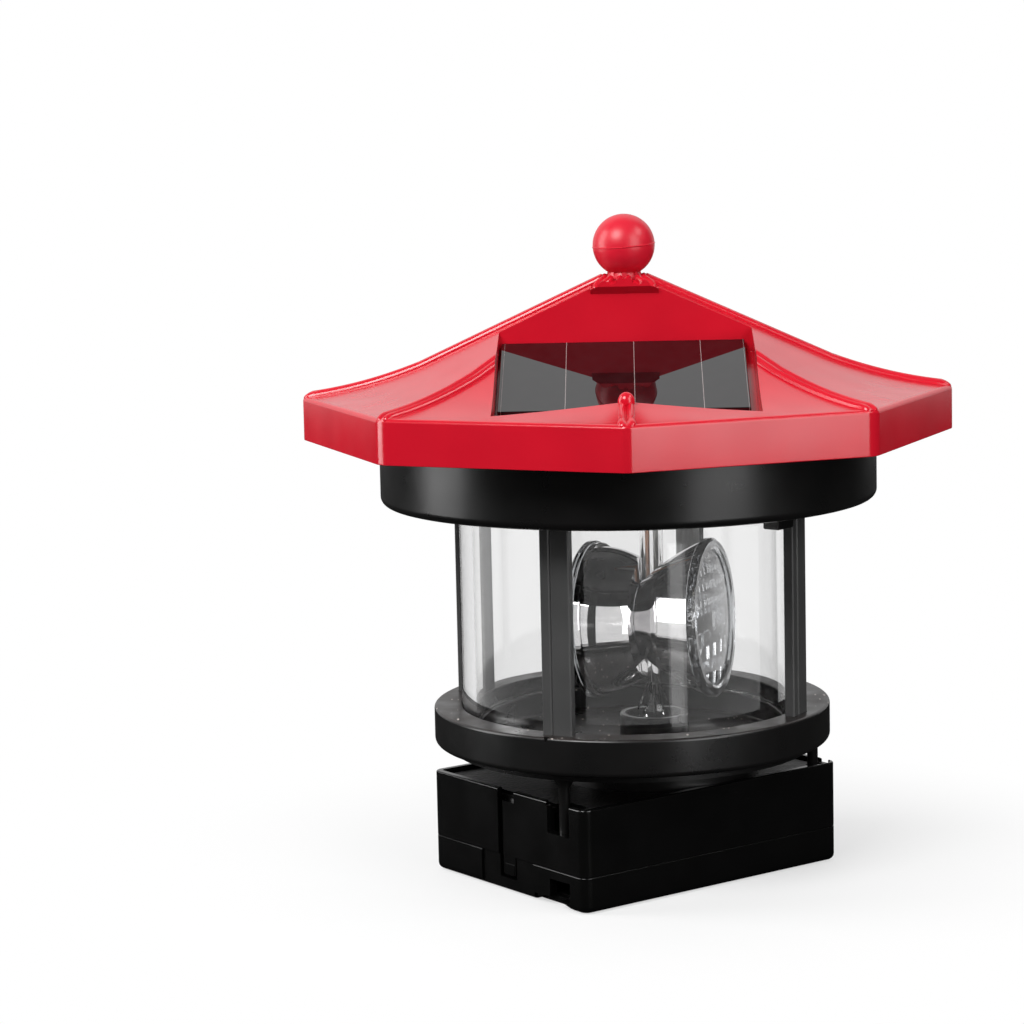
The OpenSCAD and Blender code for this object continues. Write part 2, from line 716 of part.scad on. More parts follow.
module base_tray() {
    screw_head_r = 2.1;
    color([0.08, 0.08, 0.08]) box_frame() difference() {
        union() {
            tray_blank();
            for (p = screws_u) translate([p.x, p.y, 1]) cylinder(r = 2.7, h = 2.1);
        }
        translate([-half_l - 1, door_edge_v - door_gap, -1])
            cube([door_end_u + half_l + 1 + door_gap, 40, 20]);
        translate([-half_l - 1, door_edge_v - 1.1, 0.35]) cube([door_end_u + half_l + 1.1, 2, 0.7]);
        translate([-half_l - 1, -14.7, 1]) cube([3, 4.6, 2.8]);
        translate([-half_l - 1, -10.5, -7.8]) rotate([0, 90, 0]) cylinder(r = 9, h = 2.6);
        for (p = screws_u) translate([p.x, p.y, -1]) {
            cylinder(r = screw_head_r, h = 3, $fn = 32);
            cylinder(r = 1.15, h = 9, $fn = 32);
        }
        translate([switch_u.x - 2.6, switch_u.y - 1.3, -1]) cube([7.2, 2.6, 3]);
        translate([switch_u.x - 3.6, switch_u.y - 2.3, -1]) cube([9.2, 4.6, 1.6]);
    }
}

module battery_door() {
    color([0.08, 0.08, 0.08]) box_frame() difference() {
        union() {
            intersection() {
                tray_blank();
                translate([-half_l - 1, door_edge_v, -1]) cube([door_end_u + half_l + 1, 40, 20]);
            }
            translate([-half_l + 1.4, door_edge_v - 0.75, 0.47]) cube([door_end_u + half_l - 1.6, 0.8, 0.46]);
            translate([door_end_u - 2, 0, floor_h + 0.1]) cube([3.2, 4, 0.8]);
            translate([door_end_u - 2, 0, floor_h - 0.1]) cube([2, 4, 0.3]);
        }
        translate([-half_l - 1, slot_v - slot_w / 2, slot_z]) cube([1 + box_wall + 0.6, slot_w, 20]);
        translate([-half_l - 1, door_edge_v - 1, -1]) cube([1.3, 13.2, 20]);
        for (i = [0 : 4]) translate([-half_l + 4 + 1.4 * i, cell_v - 4, -0.1]) cube([0.7, 8, 0.5]);
    }
}

module battery_cell() {
    color([0.2, 0.55, 0.35]) box_frame() translate([cell_u - cell_l / 2, cell_v, cell_z]) rotate([0, 90, 0]) {
        cylinder(r = cell_d / 2, h = cell_l - 0.9);
        cylinder(r = 2.9, h = cell_l);
    }
}

// Conical contact spring: one unbroken round-wire tube on a helix that widens to its foot.
spring_turns = 4;
spring_rings = 8;
spring_wire_r = 0.3;
spring_l = 4.75;
spring_sides = 6;
spring_foot_r = 3.6;
spring_top_r = 2.1;
spring_tail = 0.65;
function spring_point(i) =
    let (t = i / (spring_turns * spring_rings), r = spring_foot_r + t * (spring_top_r - spring_foot_r))
    [r * cos(360 * i / spring_rings), r * sin(360 * i / spring_rings),
     spring_tail + t * (spring_l - 2 * spring_tail)];
spring_coil = [for (i = [0 : spring_turns * spring_rings]) spring_point(i)];
spring_path = concat([[spring_foot_r, 0, 0]], spring_coil, [[spring_top_r, 0, spring_l]]);
spring_gap = min([for (i = [0 : len(spring_path) - 1], j = [i + spring_rings - 2 : 1 : len(spring_path) - 1])
    norm(spring_path[i] - spring_path[j]) - 2 * spring_wire_r]);
echo(spring_gap = spring_gap);

module contact_spring() {
    color("silver") box_frame() {
        translate([-21.57, cell_v - 4.4, 3]) cube([0.25, 8.8, 9.2]);
        translate([-21.29, cell_v, cell_z]) rotate([0, 90, 0])
            wire(spring_path, spring_wire_r, spring_sides, [0.01, 0, 1]);
    }
}

module contact_tab() {
    color("silver") box_frame() {
        translate([14.45, cell_v - 4.4, 3]) cube([0.3, 8.8, 9.2]);
        translate([cell_u + cell_l / 2 + 0.02, cell_v, cell_z]) rotate([0, 90, 0])
            cylinder(r = 1.6, h = 1.1, $fn = 32);
    }
}

module circuit_board() {
    color("darkgreen") box_frame() difference() {
        translate([7.2, -15, board_z]) cube([14.4, 18.4, board_t]);
        for (p = screws_u) translate([p.x, p.y, 0]) cylinder(r = 2.2, h = 20, $fn = 32);
        translate([pins_u[1].x, pins_u[1].y, 0]) cylinder(r = 1.4, h = 20, $fn = 32);
    }
    color("darkgreen") box_frame() translate([15.9, 3.39, board_z]) cube([5.7, 9.2, board_t]);
}

module board_parts() {
    top = board_z + board_t;
    box_frame() {
        color([0.1, 0.1, 0.1]) translate([9, -6, top + 0.02]) cube([4, 5, 1.6]);
        color("sienna") translate([17, -3, top + 0.02]) cylinder(r = 1.8, h = 3.4);
        color("steelblue") translate([12.6, -11.4, top + 0.02]) cylinder(r = 2, h = 4.5);
    }
}

module switch_body() {
    color("silver") at_box(switch_u) difference() {
        translate([-3.4, -1.85, floor_h + 0.02]) cube([8.8, 3.7, 3.4]);
        translate([-2.6, -1.1, 0]) cube([7.2, 2.2, 3.2]);
    }
}

module switch_slider() {
    color([0.15, 0.15, 0.15]) at_box(switch_u) {
        translate([-2.4, -0.95, floor_h + 0.3]) cube([4.6, 1.9, 1.3]);
        translate([-1.1, -0.8, 0.5]) cube([2, 1.6, 1.4]);
    }
}

module case_screws() {
    color("silver") for (p = screws_u) at_box(p, 0.68) pan_screw(1.9, 1.3, 0.7, 7);
}

roof_shell();
finial_ball();
panel_board();
panel_face();
roof_screws();
upper_ring();
clear_cylinder();
post_front();
post_right();
post_rear();
post_left();
base_flange();
stem_tube();
lamp_led();
led_leads();
ribbon_lead();
solar_leads();
front_reflector();
rear_reflector();
front_lens();
rear_lens();
drive_spigot();
drive_cup();
output_gear();
second_idler();
first_idler();
motor_pinion();
gear_pins();
gearbox_cup();
motor_can();
battery_case();
base_tray();
battery_door();
battery_cell();
contact_spring();
contact_tab();
circuit_board();
board_parts();
switch_body();
switch_slider();
case_screws();
motor_leads();
battery_leads();
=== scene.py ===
# %% [markdown]
# # A solar lighthouse lamp head
#
# The object is the head of a garden lighthouse ornament. It has a glossy red eight-sided
# roof with a small solar panel, a clear lantern room with a chromed two-way beacon, and a
# black base box with the cell and the gearbox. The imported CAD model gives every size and
# every moving body. Here each visible piece gets its fine shape and its finish.

# %% Load the CAD frame
import math

import bmesh
import bpy
from mathutils import Matrix, Vector


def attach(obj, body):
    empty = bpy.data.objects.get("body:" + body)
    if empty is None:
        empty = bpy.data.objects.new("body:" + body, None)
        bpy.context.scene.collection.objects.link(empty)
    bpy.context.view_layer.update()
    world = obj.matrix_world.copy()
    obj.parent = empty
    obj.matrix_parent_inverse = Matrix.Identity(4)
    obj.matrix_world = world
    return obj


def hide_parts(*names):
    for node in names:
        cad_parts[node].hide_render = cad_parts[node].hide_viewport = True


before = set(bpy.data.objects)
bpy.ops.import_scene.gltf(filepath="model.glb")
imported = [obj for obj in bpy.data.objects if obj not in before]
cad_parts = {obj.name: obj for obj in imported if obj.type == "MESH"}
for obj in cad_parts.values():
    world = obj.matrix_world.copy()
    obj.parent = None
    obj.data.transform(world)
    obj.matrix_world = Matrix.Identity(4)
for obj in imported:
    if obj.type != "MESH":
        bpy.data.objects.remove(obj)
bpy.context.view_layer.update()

MM = 0.001

# %% [markdown]
# ## Camera
#
# The camera stands a little above the eave, almost square to one corner of the roof. Its
# place, its small turns and its long lens were worked out from the straight edges of the
# octagon and from the round rings, which show how steeply each level is seen.

# %% Set the camera
CAMERA_BACK = 440.1 * MM
CAMERA_HIGH = (64.2 + 48.76) * MM
PITCH, YAW, ROLL = math.radians(7.755), math.radians(-2.216), math.radians(-1.303)
FOCAL_PIXELS = 3032.3

ahead = Vector((math.sin(YAW) * math.cos(PITCH), math.cos(YAW) * math.cos(PITCH), -math.sin(PITCH)))
level_right = Vector((math.cos(YAW), -math.sin(YAW), 0))
level_up = level_right.cross(ahead)
right = level_right * math.cos(ROLL) + level_up * math.sin(ROLL)
up = level_up * math.cos(ROLL) - level_right * math.sin(ROLL)

lens = bpy.data.cameras.new("camera")
lens.sensor_width = 36
lens.lens = FOCAL_PIXELS / 1024 * lens.sensor_width
lens.clip_start, lens.clip_end = 0.01, 20
camera = bpy.data.objects.new("camera", lens)
bpy.context.scene.collection.objects.link(camera)
camera.matrix_world = (Matrix.Translation((0, -CAMERA_BACK, CAMERA_HIGH))
                       @ Matrix((right, up, -ahead)).transposed().to_4x4())
bpy.context.scene.camera = camera
bpy.context.scene.view_settings.view_transform = "Standard"
print("lens in mm:", round(lens.lens, 1))

# %% [markdown]
# ## Materials
#
# Every finish is made of nodes. One helper turns a hex colour to the linear values that
# the shaders work in, and one adds a node with its settings and its links. The patterns
# read object coordinates, which are metres, so a pattern's scale is one over its size.

# %% Two helpers for materials
def linear(hex_colour):
    """sRGB hex text to linear red, green, blue, alpha."""
    parts = [int(hex_colour[i:i + 2], 16) / 255 for i in (0, 2, 4)]
    return [c / 12.92 if c <= 0.04045 else ((c + 0.055) / 1.055) ** 2.4 for c in parts] + [1]


def link(material, source, node, socket):
    """Link a node's first output, or the output that is given, to an input of another node."""
    if isinstance(source, bpy.types.Node):
        source = source.outputs[0]
    material.node_tree.links.new(source, node.inputs[socket])


def add(material, kind, sockets=(), **settings):
    """Add a node of a kind. "sockets" maps an input to a value, a node or a node's output."""
    made = material.node_tree.nodes.new("ShaderNode" + kind)
    for name, value in settings.items():
        setattr(made, name, value)
    for name, value in dict(sockets).items():
        if isinstance(value, (bpy.types.Node, bpy.types.NodeSocket)):
            link(material, value, made, name)
        else:
            made.inputs[name].default_value = value
    return made


def surface(name, sockets):
    """A new material whose shader has these values. Returns the material and its shader."""
    material = bpy.data.materials.new(name)
    material.use_nodes = True
    shader = material.node_tree.nodes["Principled BSDF"]
    for key, value in sockets.items():
        shader.inputs[key].default_value = value
    return material, shader


def ramp(material, source, stops):
    """A colour ramp over "source", with (position, hex colour) stops."""
    made = add(material, "ValToRGB", {"Fac": source})
    edges = made.color_ramp.elements
    while len(edges) < len(stops):
        edges.new(0.5)
    for edge, (position, colour) in zip(edges, stops):
        edge.position, edge.color = position, linear(colour)
    return made

# %% [markdown]
# ### Moulded ABS
#
# The roof is red ABS from a polished mould, and the rings, posts and box are black ABS.
# Such a moulding is smooth but not flat: the wall shrinks a little as it cools, which
# bends the reflections over about ten millimetres, and it has a fine grain that softens
# them unevenly. Handling leaves a faint bloom. All three are noise in the same helper.

# %% Moulded plastic
def moulded(name, colour, shade, rough, sink=0.012, grain=0.004, ior=1.54, wipe=0.07):
    """Glossy moulded ABS: "sink" and "grain" are heights in mm, "wipe" is change in roughness."""
    material, shader = surface(name, {"IOR": ior, "Roughness": rough})
    place = add(material, "TexCoord").outputs["Object"]
    broad = add(material, "TexNoise", {"Vector": place, "Scale": 1 / (9 * MM), "Detail": 1.5})
    link(material, ramp(material, broad, [(0.3, colour), (0.7, shade)]), shader, "Base Color")
    smear = add(material, "TexNoise", {"Vector": place, "Scale": 1 / (5 * MM), "Detail": 6})
    gloss = add(material, "MapRange", {"Value": smear, "From Min": 0.3, "From Max": 0.75,
                                                 "To Min": rough - wipe / 2, "To Max": rough + wipe / 2})
    link(material, gloss, shader, "Roughness")
    wave = add(material, "TexNoise", {"Vector": place, "Scale": 1 / (7 * MM), "Detail": 0})
    fine = add(material, "TexNoise", {"Vector": place, "Scale": 1 / (0.35 * MM), "Detail": 3})
    bent = add(material, "Bump", {"Height": wave, "Distance": sink * MM})
    grained = add(material, "Bump", {"Height": fine, "Distance": grain * MM,
                                               "Normal": bent})
    link(material, grained, shader, "Normal")
    return material


red_abs = moulded("red_abs_polished_mould", "CE1529", "C51226", 0.2)
# The ball's red is a little lighter than the roof's red: painted light on the ball.
ball_abs_painted_light = moulded("red_abs_satin_ball_painted_lighter", "D41730", "CB142B", 0.36, 0.008, 0.008)
black_abs = moulded("black_abs_moulded", "0F0F0F", "131212", 0.3)
satin_abs = moulded("black_abs_satin_post", "3A3A3A", "444444", 0.45, 0.006, 0.008)
box_abs = moulded("black_abs_glossy_box", "050505", "080808", 0.2)

# %% [markdown]
# ### Clear polystyrene
#
# The glazing, the lenses, the stem and the spigot are clear crystal polystyrene. It bends
# light a little more than glass does, and a moulding has faint flow lines in it.

# %% Clear plastic
def clear_moulded(name, rough, tint="F9F9F9", flow=0.004):
    """Clear polystyrene. "flow" is the height in mm of the waves that the flow leaves."""
    material, shader = surface(name, {"IOR": 1.59, "Roughness": rough, "Transmission Weight": 1,
                                      "Base Color": linear(tint)})
    place = add(material, "TexCoord").outputs["Object"]
    lines = add(material, "Mapping", {"Vector": place, "Scale": (1, 1, 0.15)})
    wave = add(material, "TexNoise", {"Vector": lines, "Scale": 1 / (6 * MM), "Detail": 1})
    bent = add(material, "Bump", {"Height": wave, "Distance": flow * MM})
    link(material, bent, shader, "Normal")
    return material


clear_ps = clear_moulded("clear_polystyrene", 0.01)
lens_ps = clear_moulded("clear_polystyrene_lens", 0.02, "BFC1C3", 0.006)
clear_epoxy = clear_moulded("clear_epoxy_lamp", 0.08, "F4F1E6", 0.01)

# %% [markdown]
# ### Metals
#
# The reflectors are ABS with a vacuum-deposited aluminium mirror under lacquer. The
# screws and the motor can are zinc-plated steel, the pinion is turned brass.

# %% Metals
def metal(name, colour, shade, rough, spot_mm, height_mm, stretch=(1, 1, 1)):
    """A metal whose tone and gloss vary over "spot_mm", stretched along an axis where it is drawn."""
    material, shader = surface(name, {"Metallic": 1, "Roughness": rough})
    place = add(material, "TexCoord").outputs["Object"]
    drawn = add(material, "Mapping", {"Vector": place, "Scale": stretch})
    spots = add(material, "TexNoise", {"Vector": drawn, "Scale": 1 / (spot_mm * MM),
                                                 "Detail": 4})
    link(material, ramp(material, spots, [(0.3, colour), (0.7, shade)]), shader, "Base Color")
    gloss = add(material, "MapRange", {"Value": spots, "From Min": 0.3, "From Max": 0.7,
                                                 "To Min": rough * 0.75, "To Max": rough * 1.35})
    link(material, gloss, shader, "Roughness")
    bent = add(material, "Bump", {"Height": spots, "Distance": height_mm * MM})
    link(material, bent, shader, "Normal")
    return material


vacuum_chrome = metal("vacuum_metallised_mirror", "E9E8E8", "DCDBDC", 0.05, 2.5, 0.006)
zinc_steel = metal("zinc_plated_steel", "BFC0BE", "A6A8A9", 0.3, 0.8, 0.004)
motor_steel = metal("drawn_plated_steel", "B4B5B6", "9A9C9F", 0.28, 0.5, 0.003, (1, 1, 0.05))
spring_steel = metal("nickel_plated_spring_steel", "C6C3BA", "ACA99F", 0.24, 0.6, 0.003)
turned_brass = metal("turned_brass", "D8B25C", "BE9743", 0.25, 0.4, 0.003)

# %% [markdown]
# ### Everything else
#
# The gears are natural acetal, which is white, waxy and slightly see-through. The circuit
# boards are glass-fibre with green solder mask. Wire covers are soft vinyl.

# %% Other finishes
acetal = moulded("natural_acetal", "E6E1CF", "DDD7C2", 0.38, 0.004, 0.003, 1.48)
vinyl_pale = moulded("pale_grey_vinyl", "D2D2D0", "C6C6C4", 0.42, 0.01, 0.006, 1.53)
vinyl_red = moulded("red_vinyl_wire_cover", "B3161B", "A01216", 0.4, 0.01, 0.006, 1.53)
vinyl_black = moulded("black_vinyl_wire_cover", "1A1A1B", "222223", 0.42, 0.01, 0.006, 1.53)
vinyl_white = moulded("white_vinyl_wire_cover", "E4E2DD", "D8D6D0", 0.4, 0.01, 0.006, 1.53)
solder_mask = moulded("green_solder_mask", "14522C", "1C6437", 0.34, 0.004, 0.01, 1.52)
component = moulded("moulded_component", "1B1B1C", "272728", 0.5, 0.002, 0.006, 1.52)
cell_sleeve = moulded("shrink_sleeve_green", "2C7A4C", "256B42", 0.3, 0.01, 0.004, 1.5)

# %% [markdown]
# ## The hidden pieces
#
# The pieces inside the box and the gearbox already have their right shape in the CAD
# model, so they stay, and each takes the finish of what it is made of.

# %% Give the hidden pieces their finishes
HIDDEN = {
    "roof_screws": zinc_steel, "lamp_led": clear_epoxy, "output_gear": acetal, "second_idler": acetal,
    "first_idler": acetal, "motor_pinion": turned_brass, "gear_pins": zinc_steel, "motor_can": motor_steel,
    "battery_cell": cell_sleeve, "contact_spring": spring_steel, "contact_tab": spring_steel,
    "circuit_board": solder_mask, "board_parts": component, "switch_body": zinc_steel,
    "switch_slider": black_abs, "case_screws": zinc_steel, "motor_leads": vinyl_red,
}
for node, material in HIDDEN.items():
    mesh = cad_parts[node].data
    mesh.materials.clear()
    mesh.materials.append(material)
print("CAD nodes with a finish:", len(HIDDEN), "of", len(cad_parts))

# %% [markdown]
# ## Working by hand in code
#
# Each new piece starts from one primitive and is shaped with the operators of edit mode.
# An operator acts on all that is selected, so everything is deselected first. A round or
# eight-sided piece is a ring that is extruded, moved and scaled along its outline, the
# way a potter raises a wall. Sizes are given in mm, as on the CAD drawing.

# %% Helpers that raise a wall from a ring
def new_piece(name):
    """Take the object that was just added, put its place in its mesh, and open edit mode."""
    piece = bpy.context.object
    piece.name = piece.data.name = name
    bpy.ops.object.transform_apply(location=True, rotation=True, scale=True)
    bpy.ops.object.mode_set(mode="EDIT")
    bpy.ops.mesh.select_mode(type="VERT")
    bpy.ops.mesh.select_all(action="SELECT")
    return piece


def done(piece, merge_mm=0.001):
    """Merge doubled points, turn the faces outwards, and close edit mode."""
    bpy.ops.mesh.select_all(action="SELECT")
    bpy.ops.mesh.remove_doubles(threshold=merge_mm * MM)
    bpy.ops.mesh.normals_make_consistent(inside=False)
    bpy.ops.object.mode_set(mode="OBJECT")
    return piece


def raised(name, outline, sides=96, at=(0, 0)):
    """Raise a closed wall along (radius, height) points about a vertical line.

    An outline that starts and ends on the line makes a filled solid with flat ends, and any
    other outline closes on itself as a ring.
    """
    filled = outline[0][0] == 0
    rings = outline[1:-1] if filled else outline + outline[:1]
    bpy.ops.object.select_all(action="DESELECT")
    bpy.ops.mesh.primitive_circle_add(
        vertices=sides, radius=rings[0][0] * MM, fill_type="NGON" if filled else "NOTHING",
        location=(at[0] * MM, at[1] * MM, rings[0][1] * MM))
    piece = new_piece(name)
    for old, new in zip(rings, rings[1:]):
        bpy.ops.mesh.extrude_region_move(TRANSFORM_OT_translate={"value": (0, 0, (new[1] - old[1]) * MM)})
        grow = new[0] / old[0]
        bpy.ops.transform.resize(value=(grow, grow, 1), center_override=(at[0] * MM, at[1] * MM, new[1] * MM))
    return done(piece, 0.002)


def arc(centre, radius, start, end, steps=6):
    """Points of a rounding in an outline, from one angle to another in degrees."""
    turns = [math.radians(start + (end - start) * i / steps) for i in range(steps + 1)]
    return [(centre[0] + radius * math.cos(a), centre[1] + radius * math.sin(a)) for a in turns]

# %% Helpers that draw a section and extrude it
def drawn_path(name, points):
    """Draw a path through (x, y, z) points by extruding one point again and again."""
    bpy.ops.object.select_all(action="DESELECT")
    bpy.ops.mesh.primitive_plane_add(size=MM, location=Vector(points[0]) * MM)
    piece = new_piece(name)
    bpy.ops.mesh.merge(type="CENTER")
    for old, new in zip(points, points[1:]):
        step = (Vector(new) - Vector(old)) * MM
        bpy.ops.mesh.extrude_region_move(TRANSFORM_OT_translate={"value": step})
    return piece


def section(name, points):
    """Draw a closed section through (x, y, z) points."""
    piece = drawn_path(name, points + points[:1])
    bpy.ops.mesh.select_all(action="SELECT")
    bpy.ops.mesh.remove_doubles(threshold=0.001 * MM)
    return piece


def slab(name, points, depth):
    """A section filled with one face and extruded by the vector "depth"."""
    piece = section(name, points)
    bpy.ops.mesh.edge_face_add()
    bpy.ops.mesh.extrude_region_move(TRANSFORM_OT_translate={"value": Vector(depth) * MM})
    return done(piece, 0.001)


def pick(piece, wanted, kind="faces"):
    """In edit mode, select only the faces, edges or points for which "wanted" is true."""
    bpy.ops.mesh.select_mode(type={"faces": "FACE", "edges": "EDGE", "verts": "VERT"}[kind])
    bpy.ops.mesh.select_all(action="DESELECT")
    mesh = bmesh.from_edit_mesh(piece.data)
    for part in getattr(mesh, kind):
        if wanted(part):
            part.select_set(True)
    mesh.select_flush_mode()
    bmesh.update_edit_mesh(piece.data)
    return sum(part.select for part in getattr(mesh, kind))


def choose(piece):
    """Deselect everything, then select one piece and make it the active one."""
    bpy.ops.object.select_all(action="DESELECT")
    bpy.context.view_layer.objects.active = piece
    piece.select_set(True)


def edit(piece):
    """Open a finished piece in edit mode again."""
    choose(piece)
    bpy.ops.object.mode_set(mode="EDIT")


def modify(piece, kind, **settings):
    """Add a modifier with its settings and apply it."""
    made = piece.modifiers.new(kind, kind)
    for name, value in settings.items():
        setattr(made, name, value)
    bpy.ops.object.modifier_apply(modifier=made.name)


def combine(piece, other, how):
    """Add, cut or intersect another solid, then remove it."""
    choose(piece)
    modify(piece, "BOOLEAN", operation=how, object=other, solver="EXACT")
    bpy.data.objects.remove(other)
    return piece


def joined(pieces):
    """Make one object of several."""
    bpy.ops.object.select_all(action="DESELECT")
    for piece in pieces:
        piece.select_set(True)
    bpy.context.view_layer.objects.active = pieces[0]
    bpy.ops.object.join()
    return pieces[0]


def placed(piece, matrix):
    """Move a piece's mesh by a matrix. Its object stays at the origin."""
    choose(piece)
    piece.matrix_world = matrix
    bpy.ops.object.transform_apply(location=True, rotation=True, scale=True)
    return piece


def copied(piece, name, matrix):
    """A copy with its own mesh, moved by a matrix."""
    twin = piece.copy()
    twin.data = piece.data.copy()
    twin.name = twin.data.name = name
    bpy.context.scene.collection.objects.link(twin)
    return placed(twin, matrix)


def settle(piece, node, material, body="lantern", angle=35):
    """Smooth the faces that meet softly, give the finish, and hand the piece to its body.

    Weighted normals keep the large faces flat, so only the small roundings shade softly.
    The piece then stands for the CAD node of that name.
    """
    choose(piece)
    bpy.ops.object.shade_smooth_by_angle(angle=math.radians(angle))
    modify(piece, "WEIGHTED_NORMAL", keep_sharp=True)
    if material:
        piece.data.materials.clear()
        piece.data.materials.append(material)
    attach(piece, body)
    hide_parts(node)
    piece.name = piece.data.name = "shaped_" + node
    solid = bmesh.new()
    solid.from_mesh(piece.data)
    open_edges = sum(len(edge.link_faces) != 2 for edge in solid.edges)
    print(piece.name, [round(v / MM, 1) for v in piece.dimensions], "mm,", len(solid.faces), "faces,",
          round(solid.calc_volume(signed=True) / MM ** 3, 1), "mm3,", open_edges, "open edges")
    solid.free()
    return piece


def turned(degrees, axis="Z"):
    """The matrix of a turn about an axis through the origin."""
    return Matrix.Rotation(math.radians(degrees), 4, axis)


def moved(x, y, z):
    """The matrix of a move in mm."""
    return Matrix.Translation((x * MM, y * MM, z * MM))

# %% [markdown]
# Two more helpers make the plain solids that the rest is built from and cut with: a rod
# that stands on end, and a block with rounded corners.

# %% A rod and a block
def stepped(name, low, steps, at=(0, 0), sides=64):
    """A round bar on end, from "low" up, that ends each (radius, height) step at its height."""
    outline = [(0, low)]
    for radius, high in steps:
        outline += [(radius, outline[-1][1]), (radius, high)]
    return raised(name, outline + [(0, outline[-1][1])], sides, at)


def rod(name, radius, low, high, at=(0, 0), sides=64):
    """A round bar of one radius between two heights."""
    return stepped(name, low, [(radius, high)], at, sides)


def block(name, low, high, corner=0, bottom=0, top=0):
    """A block between two corners. "corner" rounds its upright edges, the others its rims."""
    bpy.ops.object.select_all(action="DESELECT")
    bpy.ops.mesh.primitive_cube_add(size=MM, location=[(a + b) / 2 * MM for a, b in zip(low, high)],
                                    scale=[b - a for a, b in zip(low, high)])
    piece = new_piece(name)
    if corner:
        pick(piece, lambda e: abs(e.verts[0].co.z - e.verts[1].co.z) > 1e-6, "edges")
        bpy.ops.mesh.bevel(offset=corner * MM, segments=8, affect="EDGES")
    for height, size in ((low[2], bottom), (high[2], top)):
        if size:
            pick(piece, lambda e: all(abs(v.co.z - height * MM) < 1e-7 for v in e.verts), "edges")
            bpy.ops.mesh.bevel(offset=size * MM, segments=4, affect="EDGES")
    return done(piece)

# %% [markdown]
# ## The roof
#
# On the real object the roof is one red moulding: eight slopes that sweep out flat to an
# upright fascia, a double bead on each ridge, and a recess for the solar panel. It could be
# a lathe shape with eight sides, but the beads and the recess need their own solids. So the
# outside and the hollow are raised as two eight-sided solids, the recess tub and the screw
# bosses are taken out of the hollow, and the hollow and the recess are cut from the roof.

# %% The roof's slope, with sizes in mm
EAVE_Z = 64.2
ROOF_R = 47.5
BEND_R = 30
FASCIA_H = 6.3
APEX_R = 3.7
FOOT_SLOPE, SWEEP_CURVE = 0.1, 0.0082


def rise(t):
    """How far the ridge has risen at a distance t in mm in from the eave's corner."""
    return FOOT_SLOPE * t + SWEEP_CURVE * t * t


HIP_SLOPE = FOOT_SLOPE + 2 * SWEEP_CURVE * (ROOF_R - BEND_R) + 0.07


def slope_z(r):
    """Height of the ridge line at a radius, in mm."""
    if r > BEND_R:
        return EAVE_Z + FASCIA_H + rise(ROOF_R - r)
    return EAVE_Z + FASCIA_H + rise(ROOF_R - BEND_R) + (BEND_R - r) * HIP_SLOPE


SWEEP_STEPS = 12
SWEEP = [ROOF_R - (ROOF_R - BEND_R) * i / SWEEP_STEPS for i in range(SWEEP_STEPS + 1)] + [16, APEX_R]
APEX_Z = slope_z(APEX_R)
print("apex height in mm:", round(APEX_Z, 2))

# %% Raise the outside and round its corners
slope = [(r, slope_z(r)) for r in SWEEP]
roof = raised("roof", [(0, EAVE_Z), (ROOF_R, EAVE_Z)] + slope + [(0, APEX_Z)], sides=8)
edit(roof)


def corner_edge(edge):
    a, b = [v.co / MM for v in edge.verts]
    return a.xy.length > 47.4 and b.xy.length > 47.4 and abs(a.z - b.z) > 3


def rim_edge(height):
    """A test for the outer edges that lie level at a height."""
    return lambda edge: all(v.co.xy.length / MM > 43 and abs(v.co.z / MM - height) < 0.01 for v in edge.verts)


for title, wanted, size_mm, steps in (
        ("rounded corners", lambda e: corner_edge(e) and e.verts[0].co.y > -47 * MM, 1.3, 5),
        ("crisp front corner", corner_edge, 0.85, 5),
        ("eave edges", rim_edge(EAVE_Z + FASCIA_H), 0.55, 3),
        ("foot edges", rim_edge(EAVE_Z), 0.15, 2)):
    print(title + ":", pick(roof, wanted, "edges"))
    bpy.ops.mesh.bevel(offset=size_mm * MM, segments=steps, affect="EDGES")
done(roof, 0.001)

# %% The hollow, less the tub and the screw bosses
WALL = 1.8
DROP = 2.1
hollow = raised("hollow", [(0, EAVE_Z - 1), (ROOF_R - WALL, EAVE_Z - 1)]
                + [(r - WALL, slope_z(r) - DROP) for r in SWEEP] + [(0, APEX_Z - DROP)], sides=8)

RECESS_HALF = 18.2
RECESS_BACK, RECESS_FRONT = -3, -36.6
PANEL_TOP_Z = EAVE_Z + 13.9
PANEL_TILT = math.radians(20)
PANEL_T = 1.8
SEAT_Z = PANEL_TOP_Z - PANEL_T / math.cos(PANEL_TILT)
FOOT_Y = RECESS_BACK - 23.1 * math.cos(PANEL_TILT)
FLOOR_Z = EAVE_Z + 4.9


def recess(name, wall, top):
    """The recess as a solid, grown by "wall" on its sides and floor."""
    seat, floor = SEAT_Z - wall, FLOOR_Z - wall
    foot = seat - (RECESS_BACK - FOOT_Y) * math.tan(PANEL_TILT)
    side = RECESS_HALF + wall
    profile = [(RECESS_BACK + wall, top), (RECESS_BACK + wall, seat), (FOOT_Y, foot), (FOOT_Y, floor),
               (RECESS_FRONT - wall, floor), (RECESS_FRONT - wall, top)]
    return slab(name, [(-side, y, z) for y, z in profile], (2 * side, 0, 0))


combine(hollow, recess("tub", 1.4, APEX_Z + 5), "DIFFERENCE")
SCREWS = [(30 * math.cos(math.radians(a)), 30 * math.sin(math.radians(a))) for a in (45, 135, 225, 315)]
bosses = [rod("boss", 2.6, 64, 90, spot, 32) for spot in SCREWS]
combine(hollow, joined(bosses), "DIFFERENCE")
combine(roof, hollow, "DIFFERENCE")
print("roof faces with its hollow:", len(roof.data.polygons))

# %% [markdown]
# ### Ridge beads
#
# Each ridge carries a double bead, two rounded ribs with a groove between them, that ends
# in a round nose over the eave's corner. One bead is a section that is extruded down the
# ridge and shrunk at its ends, and the other seven are copies turned about the roof.

